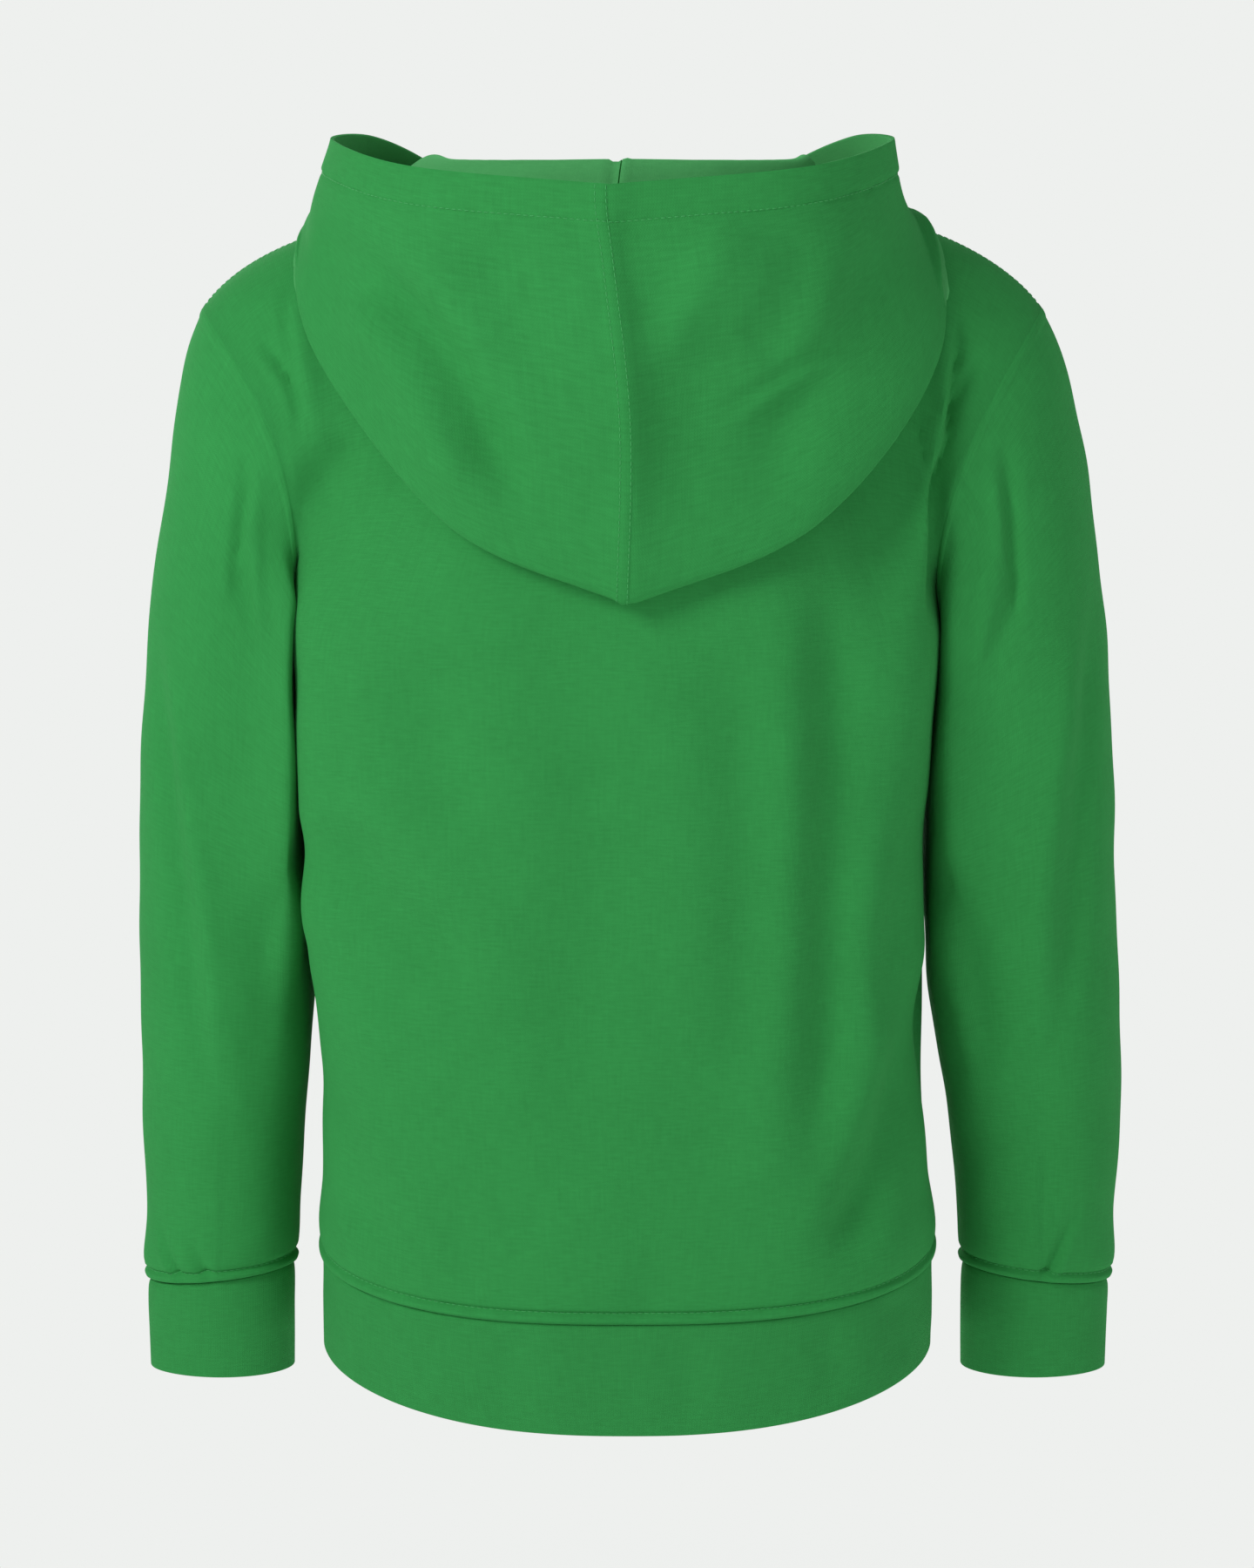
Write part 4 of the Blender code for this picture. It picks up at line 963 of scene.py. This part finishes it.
# the right half falls away from the seam, over a wider stretch further down
SEAM_FALL = 0.27
right_of_seam = np.clip(-from_seam, 0, None)
reach = 0.012 + 0.058 * ease(0.01, -0.10, points[..., 2])
hang = ease(0.004, 0.030, above) * ease(0, 0.20, past_fold)
sunk += SEAM_FALL * right_of_seam * np.exp(1 - right_of_seam / reach) * hang
points = lifted(points - normal * sunk[..., None], 0.8 * layer_gap, lying_layer)
rim_row = beside(points, normal, above, FACE_HEM)
twin_rows = [beside(points, normal, from_seam, distance, down=False) for distance in TWIN_ROWS]
stitching("stitching_hood", [rim_row, *twin_rows])
# the cloth is pressed thin where it folds, most of all in front
at_fold = 0.4 * (1 - ease(0.05, 0.12, abs(past_fold)))
pressed = np.where(behind > 0.5, at_fold, 1 - ease(0.12, 0.30, past_fold))
pressed = np.maximum(pressed, 1 - from_throat[None])
for side, halved in (("left", slice(0, middle + 1)), ("right", slice(middle, None))):
    piece = shell(f"hood_{side}", points[:, halved], **FLEECE, pressed=pressed[:, halved])

# ---------------------------------------------------------------------------
# Zip. Moulded teeth clamp the edge of a woven tape sewn behind each front, and a
# cast slider closes them. Two stops end the tapes at the top, a box at the bottom.

TAPE_THICKNESS = 0.0009
SEAM_GAP = 0.0003
TOOTH_PITCH, TOOTH_THICKNESS = 0.0025, 0.0023
SLIDER_TOP, SLIDER_HEIGHT, SLIDER_WIDTH, SLIDER_PLATE = 0.0100, 0.0150, 0.0100, 0.0014
CHAIN_TOP, CHAIN_BOTTOM = 0.0168, 0.0116  # from the throat, and from the hem
STOP_AT = 0.0072
TOOTH_OUTLINE = metres(2, (
    (4, -0.62), (1.2, -0.46), (0.5, -0.8), (-0.4, -0.8), (-1, -0.4),
    (-1, 0.4), (-0.4, 0.8), (0.5, 0.8), (1.2, 0.46), (4, 0.62),
))
# the layers of a moulded block: share of its thickness, share of its outline
TOOTH_LAYERS = ((-0.50, 0.82), (-0.38, 1.0), (0.38, 1.0), (0.50, 0.82))

rises = np.linspace(1, 0, 11)
edge_z = np.concatenate([np.arange(UNDERARM_Z - STEP, HEM_Z, -STEP), [HEM_Z]])
zip_edge = np.concatenate([
    yoke_points(np.array([1.0]), rises, -1)[:, 0],
    body_points(np.array([1.0]), edge_z, -1)[:, 0],
]) * np.array([0, 1, 1])
zip_run = run_along(zip_edge)


def on_zip(distance):
    """The middle of the zip's tapes at a distance from the throat, and the ways down and out from there."""
    def at(where):
        return np.array([np.interp(where, zip_run, zip_edge[:, axis]) for axis in range(3)])

    down = at(distance + 0.004) - at(distance - 0.004)
    down /= np.linalg.norm(down)
    outward = np.array([0, down[2], -down[1]])
    to_rib = ease(-0.012, 0, distance - np.interp(-RIB_SEAM_Z, -zip_edge[:, 2], zip_run))
    depth = CLOTH + (RIB - CLOTH) * to_rib + 2 * SEAM_GAP + TAPE_THICKNESS / 2
    return at(distance) - outward * depth, down, outward


def moulded(name, blocks, node=None):
    """Blocks of an outline, moulded along the zip: each is a distance, a side, an outline and a thickness."""
    corners, faces = [], []
    for distance, side, outline, thickness in blocks:
        middle, down, outward = on_zip(distance)
        faces += [(face[::side] + len(corners)).tolist() for face in capped(len(TOOTH_LAYERS), len(outline))]
        centre = np.mean(outline, axis=0)
        for lift, scale in TOOTH_LAYERS:
            for x, along in centre + (outline - centre) * scale:
                corner = middle + np.array([side * x, 0, 0]) + down * along
                corners.append(corner + outward * lift * thickness)
    placed(name, mesh_of(name, corners, faces, [teeth_plastic], rounded=False), node)


TEETH_LIGHT, TEETH_DARK = (0.036, 0.330, 0.078), (0.028, 0.270, 0.062)
teeth_plastic, tree, shader, place = finish_material(
    "moulded_teeth", TEETH_LIGHT, TEETH_DARK, 0.30, 0.20, 220)
relief_on(tree, shader, noise(tree, place, 2600, 2, 0.5), 0.00004)
NICKEL_LIGHT, NICKEL_DARK = (0.66, 0.66, 0.64), (0.50, 0.50, 0.48)
metal, tree, shader, place = finish_material(
    "cast_nickel", NICKEL_LIGHT, NICKEL_DARK, 0.22, 0.22, 300, metallic=1.0)
relief_on(tree, shader, noise(tree, stretched(tree, place, (2600, 260, 260)), 1.0, 2, 0.5), 0.00003)
# Woven tape: a herringbone whose diagonals turn every few millimetres across it
TAPE_LIGHT, TAPE_DARK = (0.034, 0.300, 0.072), (0.024, 0.230, 0.052)
HERRINGBONE, TWILL_PITCH = 0.0016, 0.0008
tape_weave, tree, shader, place = finish_material("woven_tape", TAPE_LIGHT, TAPE_DARK, 0.75, 0.15, 400)
split = add_node(tree, "SeparateXYZ", {0: place})
diagonal = maths(tree, "ADD", split["Z"], maths(tree, "PINGPONG", split["X"], HERRINGBONE))
twill = maths(tree, "SINE", maths(tree, "MULTIPLY", diagonal, 2 * math.pi / TWILL_PITCH))
relief_on(tree, shader, twill, 0.00012)
for node in ("zip_tape_left", "zip_tape_right", "zip_box"):
    materials = frame["nodes"][node].data.materials
    materials.clear()
    materials.append(teeth_plastic if node == "zip_box" else tape_weave)

places = np.arange(CHAIN_TOP, zip_run[-1] - CHAIN_BOTTOM, TOOTH_PITCH / 2)
teeth = [
    (place, 1 if number % 2 else -1, TOOTH_OUTLINE, TOOTH_THICKNESS) for number, place in enumerate(places)
]
moulded("zip_teeth", teeth, "zip_chain")
STOP_OUTLINE = metres(2, ((4.4, -2.2), (1.7, -1.8), (1.4, 0), (1.7, 1.8), (4.4, 2.2)))
STOP_THICKNESS = 0.0021
moulded("zip_top_stops", [(STOP_AT, side, STOP_OUTLINE, STOP_THICKNESS) for side in (1, -1)])

# Slider and pull: flat outlines with rounded edges, put together in the slider's own frame
middle, down, outward = on_zip(SLIDER_TOP + SLIDER_HEIGHT / 2)
slider_place = Matrix((Vector((1, 0, 0)), Vector(-down), Vector(outward))).transposed().to_4x4()
slider_place.translation = Vector(middle)
CHANNEL = 0.0032  # between the slider's plates, where the teeth run
PLATE_OUT = CHANNEL / 2 + SLIDER_PLATE / 2


def rounded_corners(corners, radius, steps=5):
    """A closed outline with each corner turned by an arc of short steps."""
    outline = []
    corners = [Vector(corner) for corner in corners]
    for before, corner, after in zip(corners[-1:] + corners[:-1], corners, corners[1:] + corners[:1]):
        start = corner + (before - corner).normalized() * radius
        end = corner + (after - corner).normalized() * radius
        for k in range(steps + 1):
            t = k / steps
            outline.append(start * (1 - t) ** 2 + corner * 2 * t * (1 - t) + end * t * t)
    return outline


def cast_plate(name, outlines, thickness, rounding, place, node, body):
    """A flat cast piece: the first outline is its edge, and the others are holes in it."""
    data = bpy.data.curves.new(name, "CURVE")
    data.dimensions = "2D"
    data.fill_mode = "BOTH"
    data.extrude = thickness / 2 - rounding
    data.bevel_depth = rounding
    data.offset = -rounding
    data.bevel_resolution = 2
    for outline in outlines:
        spline = data.splines.new("POLY")
        spline.points.add(len(outline) - 1)
        for point, (x, y) in zip(spline.points, outline):
            point.co = (x, y, 0, 1)
        spline.use_cyclic_u = True
    data.materials.append(metal)
    placed(name, data, node, body, place)


def slab(width, top, bottom, narrow=1.0):
    return [(-width / 2, top), (width / 2, top), (width / 2 * narrow, bottom), (-width / 2 * narrow, bottom)]


ON_SLIDER = {"node": "zip_slider", "body": "garment"}
half = SLIDER_HEIGHT / 2
shield = rounded_corners(slab(SLIDER_WIDTH, half, -half, 0.84), 0.0022)
for name, lift in (("front", PLATE_OUT), ("back", -PLATE_OUT)):
    lifted_place = slider_place @ Matrix.Translation((0, 0, lift))
    cast_plate(f"slider_{name}_plate", [shield], SLIDER_PLATE, 0.0004, lifted_place, **ON_SLIDER)
wedge = rounded_corners([(0.0, 0.0010), (0.0019, half - 0.0006), (-0.0019, half - 0.0006)], 0.0006)
cast_plate("slider_wedge", [wedge], CHANNEL + 0.0004, 0.0001, slider_place, **ON_SLIDER)
# the bridge stands on the front plate, seen from the side: along the slider and out from it
BRIDGE_HALF, BRIDGE_RISE, BRIDGE_BAR = 0.0050, 0.0034, 0.0011
arch = rounded_corners([
    (-BRIDGE_HALF, -0.0003), (BRIDGE_HALF, -0.0003), (BRIDGE_HALF, BRIDGE_RISE), (-BRIDGE_HALF, BRIDGE_RISE),
], 0.0012)
eye_half, eye_top = BRIDGE_HALF - BRIDGE_BAR, BRIDGE_RISE - BRIDGE_BAR
eye = rounded_corners([
    (-eye_half, 0.0001), (eye_half, 0.0001), (eye_half, eye_top), (-eye_half, eye_top),
], 0.0006)
on_side = Matrix(((0, 0, 1, 0), (1, 0, 0, 0), (0, 1, 0, PLATE_OUT + SLIDER_PLATE / 2), (0, 0, 0, 1)))
cast_plate("slider_bridge", [arch, eye], 0.0018, 0.0003, slider_place @ on_side, **ON_SLIDER)

PULL = {"node": "zip_pull", "body": "pull_tab"}
PULL_WIDTH, PULL_LENGTH, PULL_THICKNESS, PULL_WINDOW = 0.0062, 0.0280, 0.0012, 0.0062
PULL_NECK, PULL_SHOULDER_Z = 0.0023, -0.0090  # half as wide at the hinge, and where it reaches its full width
GRIP_TOP, GRIP_RIM = -0.0100, 0.0010
pull_place = slider_place.copy()
pull_place.translation = Vector(frame["joints"][0]["pos_m"])
bar = PULL_THICKNESS / 2
pull_end = bar - PULL_LENGTH
pull_edge = rounded_corners([
    (-PULL_NECK, bar), (PULL_NECK, bar), (PULL_WIDTH / 2, PULL_SHOULDER_Z), (PULL_WIDTH / 2, pull_end),
    (-PULL_WIDTH / 2, pull_end), (-PULL_WIDTH / 2, PULL_SHOULDER_Z),
], 0.0011)
window = rounded_corners(slab(0.0026, -bar, -bar - PULL_WINDOW), 0.0005)
cast_plate("pull_tab_plate", [pull_edge, window], PULL_THICKNESS, 0.0003, pull_place, **PULL)
grip = rounded_corners(slab(PULL_WIDTH, GRIP_TOP, pull_end), 0.0011)
inner_grip = slab(PULL_WIDTH - 2 * GRIP_RIM, GRIP_TOP - GRIP_RIM, pull_end + GRIP_RIM)
inner_grip = rounded_corners(inner_grip, 0.0008)
for name, lift in (("front", bar), ("back", -bar)):
    raised = pull_place @ Matrix.Translation((0, 0, lift))
    cast_plate(f"pull_tab_{name}_rim", [grip, inner_grip], 0.0005, 0.0002, raised, **PULL)

# ---------------------------------------------------------------------------
# Room: a pale floor that melts into the background, a large soft key light at the
# wearer's left, a weak fill and an even pale surround.

BACKDROP = (0.855, 0.871, 0.855)
FLOOR_Z = -0.95
scene = bpy.context.scene
scene.view_settings.view_transform = "Standard"
world = bpy.data.worlds.new("pale_surround")
scene.world = world
world.use_nodes = True
tree = world.node_tree
AMBIENT = 0.37  # of the backdrop's light, that falls on the garment
seen = add_node(tree, "LightPath", {})["Is Camera Ray"]
strength = maths(tree, "ADD", maths(tree, "MULTIPLY", seen, 1 - AMBIENT), AMBIENT)
feed(tree, tree.nodes["Background"], {"Color": (*BACKDROP, 1), "Strength": strength})

floor_mesh = bpy.data.meshes.new("floor")
disc = bmesh.new()
bmesh.ops.create_circle(disc, cap_ends=True, segments=96, radius=30)
disc.to_mesh(floor_mesh)
disc.free()
floor = bpy.data.objects.new("floor", floor_mesh)
floor.location = (0, 0, FLOOR_Z)
scene.collection.objects.link(floor)
# the paper takes the soft shadow near the garment, and glows like the backdrop further out
plain, tree, paper = new_material("pale_floor")
feed(tree, paper, {"Base Color": (0.90, 0.91, 0.90, 1), "Roughness": 0.9})
glow = add_node(tree, "Emission", {"Color": (*BACKDROP, 1)})["Emission"]
place = add_node(tree, "TexCoord", {})["Object"]
radius = add_node(tree, "VectorMath", {0: place}, operation="LENGTH")["Value"]
fading = {"Value": radius, "From Min": 0.15, "From Max": 0.70, "To Min": 0.90}
fade = add_node(tree, "MapRange", fading, interpolation_type="SMOOTHSTEP")["Result"]
blend = add_node(tree, "MixShader", {"Fac": fade, 1: paper.outputs["BSDF"], 2: glow})["Shader"]
feed(tree, tree.nodes["Material Output"], {"Surface": blend})
floor_mesh.materials.append(plain)


def soft_light(name, place, aim, size, watts):
    data = bpy.data.lights.new(name, "AREA")
    data.shape = "DISK"
    data.size = size
    data.energy = watts
    light = bpy.data.objects.new(name, data)
    light.location = place
    light.rotation_euler = (Vector(aim) - Vector(place)).to_track_quat("-Z", "Y").to_euler()
    scene.collection.objects.link(light)


GARMENT_MIDDLE = (0, 0, -0.30)
soft_light("key", (1.80, 1.75, 1.10), GARMENT_MIDDLE, 1.1, 45)
soft_light("fill", (-1.6, 2.4, 0.1), GARMENT_MIDDLE, 1.8, 7)
soft_light("front", (0.9, -2.4, 0.8), GARMENT_MIDDLE, 1.8, 34)

CAMERA_ELEVATION = math.radians(8.5)
CAMERA_DISTANCE = 2.6
target = Vector((0, 0, -0.30586))
camera = bpy.data.objects.new("camera", bpy.data.cameras.new("camera"))
camera.data.lens = 104
camera.data.sensor_width = 36
back_off = Vector((0, math.cos(CAMERA_ELEVATION), math.sin(CAMERA_ELEVATION)))
camera.location = target + back_off * CAMERA_DISTANCE
camera.rotation_euler = (-back_off).to_track_quat("-Z", "Y").to_euler()
scene.collection.objects.link(camera)
scene.camera = camera
